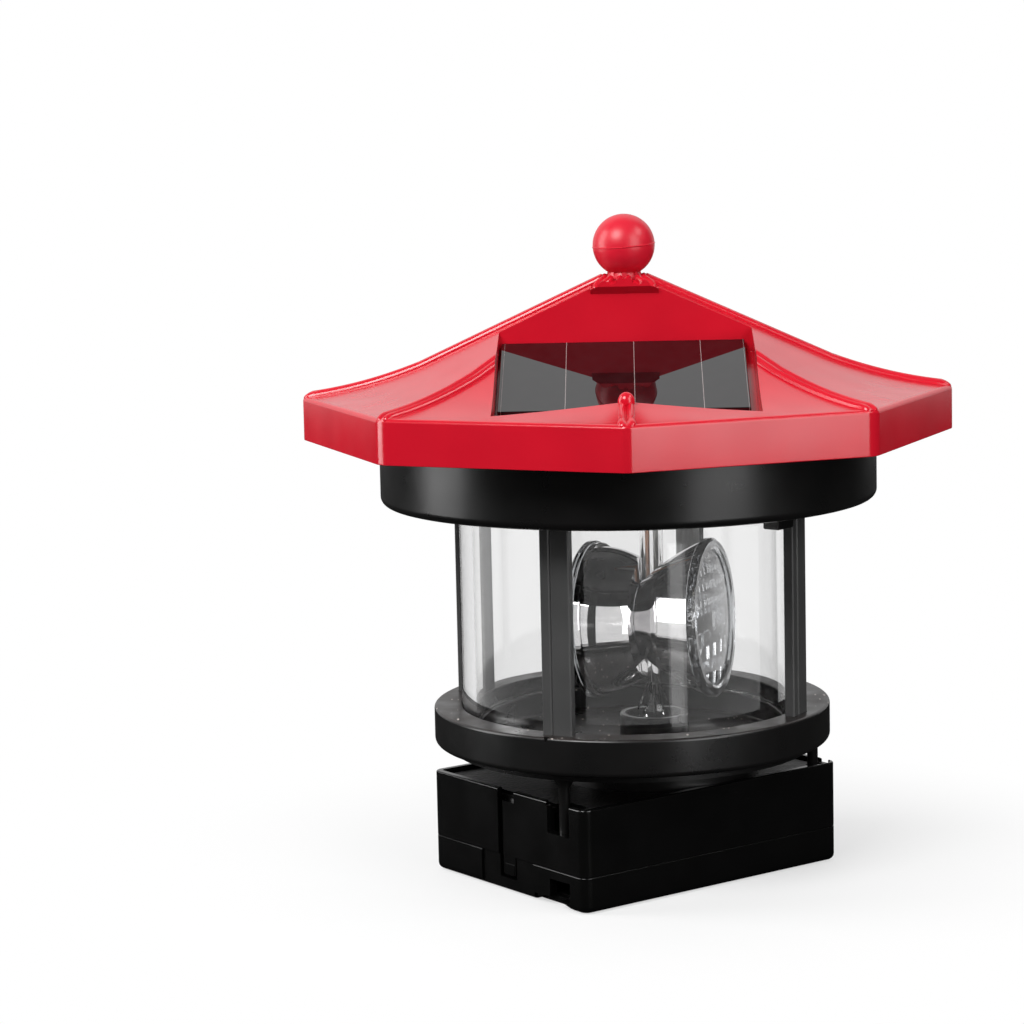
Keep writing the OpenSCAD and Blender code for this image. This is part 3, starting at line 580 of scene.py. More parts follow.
# %% Model one bead and copy it round
BEAD_LEFT = [(-1.3, -1.6), (-1.3, -0.1), (-1.22, 0.22), (-1.02, 0.48),
             (-0.74, 0.62), (-0.44, 0.56), (-0.2, 0.32)]
BEAD = BEAD_LEFT + [(0, 0.12)] + [(-y, z) for y, z in reversed(BEAD_LEFT)]


def bead(name, stations):
    """Extrude the bead's section through (radius, width share, height share, lift in mm) stations."""
    r, wide, tall, lift = stations[0]
    base = slope_z(r) - 1.6 + lift
    piece = section(name, [(r, y * wide, base + (z + 1.6) * tall) for y, z in BEAD])
    bpy.ops.mesh.edge_face_add()
    for new_r, new_wide, new_tall, lift in stations[1:]:
        new_base = slope_z(new_r) - 1.6 + lift
        bpy.ops.mesh.extrude_region_move(TRANSFORM_OT_translate={
            "value": ((new_r - r) * MM, 0, (new_base - base) * MM)})
        bpy.ops.transform.resize(value=(1, new_wide / wide, new_tall / tall),
                                 center_override=(new_r * MM, 0, new_base * MM))
        r, wide, tall, base = new_r, new_wide, new_tall, new_base
    return done(piece, 0.001)


NOSE = [(45.8, 1, 1, 0), (46.3, 0.96, 0.84, 0.22), (46.65, 0.88, 0.66, 0.46), (46.9, 0.74, 0.5, 0.66),
        (47.05, 0.52, 0.34, 0.82)]
FULL = [(r, 1, 1, 0) for r in reversed(SWEEP) if r < 46]
TOP = [(3.0, 0.55, 0.75, 0), (3.15, 0.8, 0.92, 0)]
long_bead = bead("bead", TOP + [(3.4, 0.95, 1, 0)] + FULL + NOSE)
narrow = [(r, 0.85, 0.95, 0) for r, *_ in FULL if r > 38]
short_bead = bead("bead_stub", [(37.4, 0.8, 0.95, 0)] + narrow + NOSE)
beads = [long_bead] + [copied(long_bead, "bead", turned(45 * i)) for i in range(1, 8) if i != 6]
beads.append(placed(short_bead, turned(270)))
for ridge in beads:
    combine(roof, ridge, "UNION")

# %% Round the front bead's upper end and cut the recess
KNOB_AT = (0, -37.5 * MM, (EAVE_Z + 8.5) * MM)
bpy.ops.object.select_all(action="DESELECT")
bpy.ops.mesh.primitive_uv_sphere_add(segments=32, ring_count=16, radius=1.15 * MM, location=KNOB_AT)
knob = new_piece("knob")
bpy.ops.transform.resize(value=(1, 0.9, 1.1), center_override=KNOB_AT)
combine(roof, done(knob, 0.001), "UNION")
combine(roof, recess("recess", 0, APEX_Z + 12), "DIFFERENCE")

# %% [markdown]
# Round the apex a short cap stands out over the recess, and carries the tops of the three
# front beads. It's the tip of the eight-sided slopes with those beads on it, cut to a small
# block whose slanting underside meets the recess's back wall. The underside is steep enough
# to stay a sharp edge when the roof is smoothed, so the wall keeps its flat shading.

# %% The cap over the recess
CAP_R = 7
CAP_HALF = 4.9
CAP_SIDE = [(-2.9, -2.05), (-2.9, 1.5), (-4.05, 1.5), (-4.05, -0.85)]
cap = raised("cap", [(0, APEX_Z - 5), (CAP_R, APEX_Z - 5), (CAP_R, slope_z(CAP_R)),
                     (APEX_R, APEX_Z), (0, APEX_Z)], sides=8)
TIP = [(3.4, 0.9, 1, 0), (5.2, 0.9, 1, 0), (5.6, 0.75, 0.8, 0.1), (5.8, 0.5, 0.6, 0.3)]
top_bead = bead("bead_top", TOP + TIP)
for turn in (225, 270, 315):
    combine(cap, copied(top_bead, "bead_top", turned(turn)), "UNION")
bpy.data.objects.remove(top_bead)
reach = slab("reach", [(-CAP_HALF, y, APEX_Z + z) for y, z in CAP_SIDE], (2 * CAP_HALF, 0, 0))
combine(cap, reach, "INTERSECT")
combine(roof, cap, "UNION")

# %% The holes
holes = [rod("screw_hole", 0.9, 60, 69.6, spot, 24) for spot in SCREWS]
holes.append(stepped("finial_hole", APEX_Z - 6, [(1.85, APEX_Z + 0.02), (2.55, 99)], (0, 0), 48))
holes.append(rod("wire_hole", 1.6, EAVE_Z + 4, 80, (0, -15), 32))
combine(roof, joined(holes), "DIFFERENCE")
settle(roof, "roof_shell", red_abs)

# %% [markdown]
# ## The finial
#
# The ball and its short neck are one moulding, pressed into a hole in the apex. The two
# halves of the ball's mould met at a slightly tilted circle, which left a fine raised line.
# So the ball is a sphere whose middle ring is bevelled narrow and pushed out a little.

# %% Ball with its moulding line, and its neck
BALL_R = 4.5
BALL_Z = APEX_Z + BALL_R + 0.4
bpy.ops.object.select_all(action="DESELECT")
bpy.ops.mesh.primitive_uv_sphere_add(segments=96, ring_count=48, radius=BALL_R * MM)
ball = new_piece("finial")
print("moulding line edges:", pick(ball, lambda e: all(abs(v.co.z) < 1e-7 for v in e.verts), "edges"))
bpy.ops.mesh.bevel(offset=0.1 * MM, segments=2, affect="EDGES")
pick(ball, lambda v: abs(v.co.z) < 1e-7, "verts")
bpy.ops.transform.resize(value=(1.02, 1.02, 1), center_override=(0, 0, 0))
done(ball)
placed(ball, moved(0, 0, BALL_Z) @ turned(-3.5, "Y") @ turned(2, "X"))
neck = raised("neck", [(0, APEX_Z - 3.2), (1.8, APEX_Z - 3.2), (1.8, APEX_Z + 0.03), (2.5, APEX_Z + 0.03),
                       (2.45, APEX_Z + 0.5), (2.2, APEX_Z + 1.1), (2.1, APEX_Z + 1.6), (0, APEX_Z + 1.6)])
combine(ball, neck, "UNION")
RIB = [(1.5, 0.03), (2.5, 0.03), (2.45, 0.9), (2.1, 1.9), (1.5, 1.9)]
ribs = [placed(slab("rib", [(x, -0.3, APEX_Z + z) for x, z in RIB], (0, 0.6, 0)), turned(turn))
        for turn in range(0, 360, 45)]
combine(ball, joined(ribs), "UNION")
settle(ball, "finial_ball", ball_abs_painted_light)

# %% [markdown]
# ## The solar panel
#
# Strips of dark silicon lie on a thin circuit board under clear poured resin. The resin's
# flat, glossy face mirrors the recess and the ball. Thin bright wires join the strips, so
# they are lines in the material: a narrow band round each of a few distances along X.

# %% Silicon under resin
silicon, silicon_shader = surface("silicon_under_resin", {
    "Roughness": 0.3, "Specular IOR Level": 0, "Coat Weight": 1, "Coat Roughness": 0.02, "Coat IOR": 1.6})
cell_place = add(silicon, "TexCoord").outputs["Object"]
cell_x = add(silicon, "SeparateXYZ", {"Vector": cell_place}).outputs["X"]
line = None
for x_mm, half_mm in ((-17.35, 0.03), (-8.46, 0.05), (1.2, 0.05), (10.74, 0.05), (16.9, 0.03)):
    away = add(silicon, "Math", {0: cell_x, 1: x_mm * MM, 2: half_mm * MM}, operation="COMPARE").outputs[0]
    line = away if line is None else add(silicon, "Math", {0: line, 1: away}, operation="MAXIMUM").outputs[0]
grain = add(silicon, "TexNoise", {"Vector": cell_place, "Scale": 1 / (1.5 * MM), "Detail": 5})
dark = ramp(silicon, grain, [(0.35, "0F0C0E"), (0.7, "171416")])
wired = add(silicon, "Mix", {0: line, 6: dark, 7: linear("8A807F")}, data_type="RGBA")
link(silicon, wired.outputs[2], silicon_shader, "Base Color")
poured = add(silicon, "TexNoise", {"Vector": cell_place, "Scale": 1 / (14 * MM), "Detail": 0})
sag = add(silicon, "Bump", {"Height": poured, "Distance": 0.02 * MM})
link(silicon, sag, silicon_shader, "Coat Normal")

# %% Board and resin on the slope of the recess
panel_at = moved(-0.35, RECESS_BACK - 0.1, PANEL_TOP_Z) @ Matrix.Rotation(PANEL_TILT, 4, "X")
board = placed(block("panel_board", (-17.5, -22.9, -1.76), (17.5, -0.9, -0.8)), panel_at)
settle(board, "panel_board", solder_mask)
resin = placed(block("panel_face", (-17.5, -22.9, -0.76), (17.5, -0.3, 0), 0.2, 0, 0.12), panel_at)
settle(resin, "panel_face", silicon)

# %% [markdown]
# ## The black ring
#
# The ring under the roof is one black moulding: a skirt with a rounded lower edge, a
# ceiling over the lantern room with a thin collar that holds the glazing, and two lugs
# that find their place in the lighthouse. It's raised in one go along its whole outline.

# %% Raise the ring and cut its holes
CEILING_Z, RING_Z, RING_R = 62.6, 54.9, 36.15
AXIS_X = 3.3
outline = [(0, CEILING_Z), (21.75, CEILING_Z), (21.75, 60.2), (22.75, 60.2), (22.75, CEILING_Z),
           (34.45, CEILING_Z), (34.45, RING_Z + 0.3), (34.75, RING_Z)]
outline += arc((RING_R - 1.2, RING_Z + 1.2), 1.2, -90, 0, 8)
outline += [(RING_R, 67.25), (RING_R - 0.15, 67.4), (34.45, 67.4), (34.45, 64), (0, 64)]
ring = raised("upper_ring", outline, 192)
lugs = []
for turn in (-37.4, 142.6):
    lug = block("lug", (25.2, -1.9, 52.2), (27.9, 1.9, CEILING_Z + 0.2), 0.2, 0.25, 0)
    lugs.append(placed(lug, turned(turn)))
combine(ring, joined(lugs), "UNION")
holes = [rod("hole", 1.75, 61, 66, (AXIS_X, 0))] + [rod("hole", 1.1, 61, 66, spot) for spot in SCREWS]
holes.append(placed(block("slit", (25, -2.4, 61), (25.8, 2.4, 66)), turned(67.5)))
combine(ring, joined(holes), "DIFFERENCE")
settle(ring, "upper_ring", black_abs)

# %% [markdown]
# ## Glazing and posts
#
# The glazing is a thick tube of clear polystyrene with softened edges. Four flat posts
# stand round it. Each has a shallow groove off its middle, where a flow line formed, and
# small softened edges, so one post is modelled and turned to its four places. The right-hand
# one stands a little off the even spacing, so that the lantern fits its body only one way.

# %% Glazing
GLAZING_R, GLAZING_WALL = 24.95, 2
inner = GLAZING_R - GLAZING_WALL
glazing = raised("clear_cylinder", [
    (inner + 0.2, 22.52), (GLAZING_R - 0.2, 22.52), (GLAZING_R, 22.72), (GLAZING_R, 62.1),
    (GLAZING_R - 0.2, 62.3), (inner + 0.2, 62.3), (inner, 62.1), (inner, 22.72)], 256)
settle(glazing, "clear_cylinder", clear_ps, angle=30)

# %% One post, then the other three
POST_IN, POST_W, POST_T = 25.8, 4.4, 1.5
half, out, groove = POST_W / 2, POST_IN + POST_T, -POST_W / 2 + 1.5
SOFT = 0.15
plan = [(POST_IN, -half + SOFT), (POST_IN + SOFT, -half), (out - SOFT, -half), (out, -half + SOFT),
        (out, groove - 0.25), (out - 0.22, groove), (out, groove + 0.25), (out, half - SOFT),
        (out - SOFT, half), (POST_IN + SOFT, half), (POST_IN, half - SOFT)]
post = slab("post", [(x, y, 22.9) for x, y in plan], (0, 0, CEILING_Z - 22.92))
POST_TURNS = {"front": -112.5, "right": -27.7, "rear": 67.5, "left": 157.5}
for side, turn in POST_TURNS.items():
    settle(copied(post, "post_" + side, turned(turn)), "post_" + side, satin_abs)
bpy.data.objects.remove(post)

# %% [markdown]
# ## The flange
#
# The flange is the lantern room's floor: a black disc with a step that the glazing stands
# on, four pockets for the posts, a bearing hole for the beacon, and three pins that hold it
# on the box. A seam in the mould left a small vee at the front post's foot.

# %% Raise the flange, add its pins, cut its pockets
FLANGE_R, FLANGE_Z, FLANGE_TOP = 29.1, 19.3, 24.8
outline = [(0, 18.2), (26.45, 18.2), (26.45, FLANGE_Z), (28.3, FLANGE_Z)]
outline += arc((FLANGE_R - 0.8, FLANGE_Z + 0.8), 0.8, -60, 0, 4)
outline += arc((FLANGE_R - 0.45, FLANGE_TOP - 0.45), 0.45, 0, 90, 5)
outline += [(25.2, FLANGE_TOP), (25.05, FLANGE_TOP - 0.15), (25.05, 22.5), (22.5, 22.5), (22.35, 22.35),
            (22.35, FLANGE_Z + 0.3), (22.05, FLANGE_Z), (0, FLANGE_Z)]
flange = raised("base_flange", outline, 192)
BOX_TURN = 38.8
BOX = moved(0.3, 0, 0) @ turned(BOX_TURN)


def from_box(u, v):
    """World x and y in mm of a point given along and across the box."""
    spot = BOX @ Vector((u * MM, v * MM, 0)) / MM
    return spot.x, spot.y


PINS = [(-22, -11.4), (21.4, -15.4), (20.2, 15.4)]
PIN = [(0, 10.1), (0.65, 10.1), (0.8, 10.3), (0.8, 16.8), (2.3, FLANGE_Z + 0.1), (0, FLANGE_Z + 0.1)]
pins = [raised("pin", PIN, 32, from_box(*p)) for p in PINS]
combine(flange, joined(pins), "UNION")
cuts = [rod("bearing", 1.56, 16, 22, (AXIS_X, 0))]
for turn in POST_TURNS.values():
    pocket = block("pocket", (POST_IN - 0.05, -half - 0.05, 22.88), (out + 0.05, half + 0.05, 30))
    cuts.append(placed(pocket, turned(turn)))
cuts.append(placed(block("slit", (25, -2.4, 16), (25.85, 2.4, 30)), turned(67.5)))
vee = slab("vee", [(28.5, -0.5, 25), (28.5, 0, 24.1), (28.5, 0.5, 25)], (2, 0, 0))
cuts.append(placed(vee, turned(-114.5)))
for cut in cuts:
    combine(flange, cut, "DIFFERENCE")

# %% [markdown]
# The flange's upward faces get a satin black of their own, a little duller than its wall.
# Their base is a lighter warm brown-grey: painted light on the top and a painted reflection
# of the red roof. Pale flecks and short scratches lie over it in clusters.

# %% Satin black with a painted sheen and pale flecks
flecked_painted_sheen, flecked_sheen_shader = surface("black_abs_flecked_painted_sheen", {"IOR": 1.54, "Roughness": 0.35})
sheen_place = add(flecked_painted_sheen, "TexCoord").outputs["Object"]
cloud = add(flecked_painted_sheen, "TexNoise", {"Vector": sheen_place, "Scale": 1 / (5 * MM), "Detail": 5})
# The base is a lighter warm brown-grey than the wall's black: painted light on the top faces and a painted
# reflection of the red roof.
base = ramp(flecked_painted_sheen, cloud, [(0.35, "191616"), (0.7, "2B2422")])
long_way = add(flecked_painted_sheen, "Mapping", {"Vector": sheen_place, "Scale": (1, 0.28, 1), "Rotation": (0, 0, 0.6)})
fleck = add(flecked_painted_sheen, "TexVoronoi", {"Vector": long_way, "Scale": 1 / (1.1 * MM)})
small = add(flecked_painted_sheen, "MapRange", {"Value": fleck, "From Min": 0.1, "From Max": 0.2,
                                          "To Min": 1, "To Max": 0})
thick = add(flecked_painted_sheen, "MapRange", {"Value": cloud, "From Min": 0.44, "From Max": 0.55})
flecked = add(flecked_painted_sheen, "Math", {0: small, 1: thick}, operation="MULTIPLY")
flecks_on_painted_sheen = add(flecked_painted_sheen, "Mix", {0: flecked, 6: base, 7: linear("BDB4AE")}, data_type="RGBA")
link(flecked_painted_sheen, flecks_on_painted_sheen.outputs[2], flecked_sheen_shader, "Base Color")
dull = add(flecked_painted_sheen, "MapRange", {"Value": cloud, "From Min": 0.3, "From Max": 0.7,
                                         "To Min": 0.26, "To Max": 0.46})
link(flecked_painted_sheen, dull, flecked_sheen_shader, "Roughness")
speckle = add(flecked_painted_sheen, "Bump", {"Height": flecked, "Distance": 0.03 * MM})
link(flecked_painted_sheen, speckle, flecked_sheen_shader, "Normal")


def second_finish(piece, material, wanted):
    """Give another finish to the faces for which "wanted" is true."""
    piece.data.materials.append(material)
    slot = len(piece.data.materials) - 1
    changed = [face for face in piece.data.polygons if wanted(face)]
    for face in changed:
        face.material_index = slot
    print(piece.name, "faces in", material.name + ":", len(changed))


settle(flange, "base_flange", black_abs)
# The flange's upward faces take this material, so its top is painted lighter than its wall: painted light and
# a painted reflection.
second_finish(flange, flecked_painted_sheen, lambda face: face.normal.z > 0.5 and face.center.z > 19 * MM)

# %% [markdown]
# ## Stem and leads
#
# A thin clear tube comes down from the roof's centre and holds the lamp in the beacon. A
# bare copper lead and a white one run inside it. A lead is drawn as a path of points whose
# corners are rounded, turned into a curve, thickened, and turned back into a mesh.

# %% Stem
stem = raised("stem_tube", [
    (1.25, 42.3), (1.35, 42.2), (1.6, 42.2), (1.7, 42.3), (1.7, 64), (2.8, 64), (2.8, 64.8),
    (1.7, 64.8), (1.7, 65.6), (1.25, 65.6)], 64, (AXIS_X, 0))
settle(stem, "stem_tube", clear_ps)

# %% Leads
copper = metal("bare_copper_lead", "A87452", "8E5B3C", 0.34, 0.6, 0.003, (1, 1, 0.1))


def lead(name, points, radius, material, matrix=Matrix()):
    """A round lead along a path of (x, y, z) points in mm."""
    piece = drawn_path(name, points)
    pick(piece, lambda v: len(v.link_edges) == 2, "verts")
    bpy.ops.mesh.bevel(offset=0.9 * MM, segments=5, affect="VERTICES")
    bpy.ops.object.mode_set(mode="OBJECT")
    bpy.ops.object.convert(target="CURVE")
    path = bpy.context.object
    path.data.bevel_depth, path.data.bevel_resolution, path.data.use_fill_caps = radius * MM, 3, True
    bpy.ops.object.convert(target="MESH")
    wire = bpy.context.object
    edit(wire)
    done(wire)
    wire.name = wire.data.name = name
    wire.data.materials.append(material)
    return placed(wire, matrix)


def lead_pair(node, paths, radius, materials, matrix=Matrix()):
    """Two leads side by side in one piece, each in its own colour."""
    pair = joined([lead(node, path, radius, m, matrix) for path, m in zip(paths, materials)])
    settle(pair, node, None, angle=60)


LAMP_PATHS = [[(AXIS_X + s * 0.6, 0, 42.2), (AXIS_X + s * 0.6, 0, 66.6), (AXIS_X + s * 1.2, 6, 67),
               (10.4 + s * 0.5, 22.8, 67), (10.4 + s * 0.5, 22.8, 66)] for s in (-1, 1)]
PANEL_PATHS = [[(s * 0.8, -15, 71.2), (s * 0.8, -15, 66.4), (-4, 4, 66.4 + s * 0.6),
                (7.6 + s * 0.5, 21.4, 66.4 + s * 0.6), (7.6 + s * 0.5, 22.6, 66)] for s in (-1, 1)]
CELL_PATHS = [[(14.03, 6.4, 11.5), (14.03, 4.2, 11.5), (16.6, 3.2, 11.2), (16.6, 3.2, 7.02)],
              [(-20.9, 6.4, 11.6), (-20.9, 4, 11.6), (-19, 3.1, 11.9), (-5, 3.1, 11.9),
               (11, 2.3, 10.4), (11, 2.3, 7.02)]]
lead_pair("led_leads", LAMP_PATHS, 0.35, (copper, vinyl_white))
lead_pair("solar_leads", PANEL_PATHS, 0.4, (vinyl_red, vinyl_black))
lead_pair("battery_leads", CELL_PATHS, 0.35, (vinyl_red, vinyl_black), BOX)

# %% [markdown]
# The pale flat lead is four wires side by side in one cover, so its section is a row of
# four rounds. It comes down behind the rear post and turns in under the floor.

# %% Flat lead
FLAT_MID, WIRE_GAP, FLAT_LOW = 25.4, 1.05, 16.9
lobes = []
for n in range(4):
    lobes += [(25.1 + 0.3 + 0.3 * math.cos(a), -1.575 + WIRE_GAP * n + WIRE_GAP / 2 * math.sin(a))
              for a in (math.radians(t) for t in (-65, -35, 0, 35, 65))]
back = [(2 * FLAT_MID - x, y) for x, y in reversed(lobes)]
flat = slab("ribbon_lead", [(x, y, FLAT_LOW) for x, y in lobes + back], (0, 0, 66 - FLAT_LOW))
combine(flat, block("run", (19.2, -2.1, 16.9), (25.6, 2.1, 17.5), 0, 0.1, 0.1), "UNION")
combine(flat, block("drop", (19.2, -2.1, 7), (19.8, 2.1, 17.4), 0.1), "UNION")
placed(flat, turned(67.5))
settle(flat, "ribbon_lead", vinyl_pale)

# %% [markdown]
# ## The beacon
#
# Two plastic cups stand back to back, both metallised inside and out. The front one is a
# paraboloid with an open neck round the lamp, the rear one a rounder bowl. Both are turned
# shapes, so they're raised about Z and then laid on the beacon's leaning level axis.

# %% The optical axis and the two cups
BEACON_Z = 37
OPTIC = moved(AXIS_X, 0, BEACON_Z) @ turned(72 - 90) @ turned(90 - 3, "Y")
RIM_S, CUP_WALL = 8.4, 0.9


def front_r(s):
    return math.sqrt(10.4 * (s + 4.2))


def rear_r(s):
    return 10.8 * math.sqrt(1 - ((RIM_S - s) / 11.9) ** 2)


STEPS = 28
front_s = [-2.6 + i * (RIM_S + 2.6) / STEPS for i in range(STEPS + 1)]
front_cup = raised("front_reflector", [(front_r(s), s) for s in front_s]
                   + [(front_r(s) - CUP_WALL, s) for s in reversed(front_s)], 160)
placed(front_cup, OPTIC)
rear_s = [1.1 + i * (RIM_S - 1.1) / STEPS for i in range(STEPS + 1)]
rear_outside = [(rear_r(s), -s) for s in rear_s if s < 7.4]
rear_inside = [(rear_r(s) - CUP_WALL, -s) for s in reversed(rear_s) if s > 2]
REAR_RIM = [(10.77, -7.5), (11.2, -7.5), (11.3, -7.6), (11.3, -8.3), (11.2, -8.4)]
rear_cup = raised("rear_reflector", [(5.74, -1.1)] + rear_outside + REAR_RIM + rear_inside
                  + [(8.2, -2), (5.74, -2)], 160)
placed(rear_cup, OPTIC)
for cup, node in ((front_cup, "front_reflector"), (rear_cup, "rear_reflector")):
    holes = [rod("stem_hole", 2.2, BEACON_Z, 57, (AXIS_X, 0)), rod("spigot_hole", 0.9, 25, 35, (AXIS_X, 0))]
    combine(cup, joined(holes), "DIFFERENCE")
    settle(cup, node, vacuum_chrome, "turning_beacon", 40)

# %% [markdown]
# ### Prism lenses
#
# Each lens is a clear disc, smooth and slightly domed outside. Inside it has coarse prisms
# like bricks in its lower half, fine ones in its upper half, and a smooth band between. The
# prisms are cut as pockets: one wedge is repeated along a row, and over every second row.

# %% Pockets of the brick pattern
def bricks(first, step, rows, wide, deep):
    """Rows of wedge pockets. The rows lie "step" apart along X, and a pocket is "wide" along Y."""
    fields = []
    for row in (0, 1):
        low, high, side = 0.05 * abs(step), 0.95 * abs(step), (0.47 - 0.94 * row) * wide
        end = [(-side, -0.2), (side, -0.2), (0.9 * side, deep), (-0.9 * side, 0.04)]
        wedge = slab("wedge", [(low, y, z) for y, z in end], (high - low, 0, 0))
        columns = math.ceil(20 / wide)
        placed(wedge, moved(first + row * step, (row / 2 - columns / 2) * wide, 0))
        for axis, count, gap in ((1, columns, wide), (0, math.ceil((rows - row) / 2), 2 * step)):
            modify(wedge, "ARRAY", use_relative_offset=False, use_constant_offset=True, count=count,
                   constant_offset_displace=[gap * MM if a == axis else 0 for a in range(3)])
        fields.append(wedge)
    return fields


pocket_field = combine(joined(bricks(1.3, 2.05, 5, 3.1, 0.72) + bricks(-2.2, -1.1, 8, 1.5, 0.42)),
                       rod("field", 9.7, -1, 3), "INTERSECT")

# %% One lens, and its twin on the other side
DOME_R = 60
LENS_R, FACE_R = 11.6, 10.2
rings = [FACE_R - 0.9 * i for i in range(12)]
dome = [(r, 1.6 - DOME_R + math.sqrt(DOME_R ** 2 - r * r)) for r in rings]
disc = raised("lens", [(0, 0), (FACE_R, 0)] + dome + [(0, 1.6)], 160)
combine(disc, pocket_field, "DIFFERENCE")
rim = raised("lens_rim", [(9.9, 0), (LENS_R - 0.15, 0), (LENS_R, 0.15), (LENS_R, 0.9),
                          (LENS_R - 0.4, 1.3), (10.3, 1.3), (9.9, 1.1)], 160)
combine(disc, rim, "UNION")
side_on = moved(0, 0, RIM_S + 0.02)
front_lens = copied(disc, "front_lens", OPTIC @ side_on)
rear_lens = copied(disc, "rear_lens", OPTIC @ turned(180, "X") @ side_on)
bpy.data.objects.remove(disc)
for glass, node in ((front_lens, "front_lens"), (rear_lens, "rear_lens")):
    settle(glass, node, lens_ps, "turning_beacon", 25)

# %% [markdown]
# ### Spigot and drive cup
#
# A clear flared spigot with four fins hangs the beacon in a black cup, and the cup's
# journal goes down through the floor to the output wheel.

# %% Spigot
SPIGOT_TOP = BEACON_Z - front_r(0) + CUP_WALL
spigot = raised("drive_spigot", [(0, 20.5), (1.6, 20.5), (1.7, 20.6), (1.7, 23.1), (1.25, 24.2), (0.98, 25.3),
                                 (0.85, 26.3), (0.85, SPIGOT_TOP), (0, SPIGOT_TOP)], 48)
FIN = [(0, 22), (2.4, 22), (2.4, 23.8), (1.9, 25), (0.95, 27.4), (0, 27.4)]
for turn in (20, 110, 200, 290):
    fin = slab("fin", [(x, -0.4, z) for x, z in FIN], (0, 0.8, 0))
    combine(spigot, placed(fin, turned(turn)), "UNION")
placed(spigot, moved(AXIS_X, 0, 0))
settle(spigot, "drive_spigot", clear_ps, "turning_beacon", 25)

# %% Drive cup
cup = raised("drive_cup", [
    (0, 16.8), (1.4, 16.8), (1.5, 16.9), (1.5, 19.5), (4.95, 19.5), (5.1, 19.65), (5.1, 22.8),
    (4.95, 23), (4.3, 23), (4.2, 22.85), (4.2, 20.4), (2.8, 20.4), (2.8, 21.6), (2.7, 21.7),
    (1.75, 21.7), (1.75, 20.45), (0, 20.45)], 96, (AXIS_X, 0))
settle(cup, "drive_cup", black_abs, "turning_beacon")

# %% [markdown]
# ## Gearbox cup
#
# A round black cup plugs into the box and carries the gears. Only its wall shows.

# %% Raise the gearbox cup
MODULE, WHEEL_TEETH, PINION_TEETH = 0.4, 28, 8
GAP = MODULE * (WHEEL_TEETH + PINION_TEETH) / 2 + 0.03
gearbox = raised("gearbox_cup", [
    (0, 12.6), (14.5, 12.6), (14.6, 12.7), (14.6, 14.2), (15.3, 14.2), (15.3, 18.1),
    (15.2, 18.2), (13.8, 18.2), (13.8, 13.4), (0, 13.4)], 160, (AXIS_X, 0))


def about_output(distance, degrees):
    """World x and y in mm of a gear centre, from its distance and direction in the box."""
    a = math.radians(degrees + BOX_TURN)
    return AXIS_X + distance * math.cos(a), distance * math.sin(a)


SPINDLES = [(0.51, GAP, -110.7), (0.51, GAP, -50.7), (1.2, GAP * math.sqrt(2), -155.7)]
bores = [rod("bore", radius, 11, 15, about_output(distance, turn), 32) for radius, distance, turn in SPINDLES]
combine(gearbox, joined(bores), "DIFFERENCE")
settle(gearbox, "gearbox_cup", black_abs)

# %% [markdown]
# ## The base box
#
# The box is two black mouldings, a case above and a tray below, with a sliding door over
# the cell. Its walls are glossy, with bright lines where the softened edges catch the
# light. The sunk top is spark-eroded in the mould, which leaves a coarse leathery texture.

# %% Textured black
leather, leather_shader = surface("black_abs_spark_eroded", {"IOR": 1.54, "Roughness": 0.42,
                                                             "Base Color": linear("131212")})
leather_place = add(leather, "TexCoord").outputs["Object"]
pebble = add(leather, "TexVoronoi", {"Vector": leather_place, "Scale": 1 / (0.42 * MM)}, feature="SMOOTH_F1")
worn = add(leather, "TexNoise", {"Vector": leather_place, "Scale": 1 / (1.2 * MM), "Detail": 6})
rough_both = add(leather, "Math", {0: pebble, 1: worn}, operation="ADD")
pits = add(leather, "Bump", {"Height": rough_both, "Distance": 0.09 * MM})
link(leather, pits, leather_shader, "Normal")
link(leather, ramp(leather, worn, [(0.35, "0E0D0D"), (0.7, "1D1B1B")]), leather_shader, "Base Color")

# %% Case
HALF_L, HALF_W, SEAM, RIM_Z, PLATE_Z = 23.9, 18.1, 5.1, 14.8, 14.2
case = block("battery_case", (-HALF_L, -HALF_W, SEAM + 0.02), (HALF_L, HALF_W, RIM_Z), 1.5, 0.12, 0.22)
combine(case, block("cavity", (-22.6, -16.8, 4), (22.6, 16.8, 13), 0.8), "DIFFERENCE")
combine(case, block("sunk_top", (-23, -17.2, PLATE_Z), (23, 17.2, 20), 0.8), "DIFFERENCE")
gutter = block("gutter", (-23, -17.2, 13.7), (23, 17.2, 20), 0.8)
combine(gutter, block("middle", (-22.2, -16.4, 13), (22.2, 16.4, 21), 0.8), "DIFFERENCE")
combine(case, gutter, "DIFFERENCE")
CASE_SCREWS = [(-19.4, -13.6), (19, -12.2)]
for part in ([rod("screw_post", 1.9, 3.2, 13.1, p, 48) for p in CASE_SCREWS]
             + [block("holder", (-22.4, 4.6, 4), (-21.6, 14.4, 13.1)),
                block("holder", (14.8, 4.6, 4), (15.6, 14.4, 13.1)),
                block("finger", (-23.4, -1.4, 2.2), (-22.5, 1.4, 13.1), 0, 0.15),
                block("catch", (-23.65, -1.1, 2.2), (-23.25, 1.1, 3.8), 0, 0.1, 0.1)]):
    combine(case, part, "UNION")
slot_cut = block("slot", (-25, -1.95, 1.8), (-22.6, 1.95, 21.8))
combine(slot_cut, block("finger_room", (-23.45, -1.4, 0), (-15, 1.4, 13)), "DIFFERENCE")
combine(case, slot_cut, "DIFFERENCE")
combine(case, block("notch", (-25, -14.8, 10.4), (-20.2, -9.8, 30.4), 0, 0.1), "DIFFERENCE")
cuts = [rod("plug_hole", 14.7, -1, 40, (2.338, -1.8798), 96)]
cuts += [stepped("pin_hole", 7, [(0.95, PLATE_Z + 0.01), (2.6, 27)], p, 32) for p in PINS]
cuts += [rod("pilot", 0.75, 0, 10.5, p, 32) for p in CASE_SCREWS]
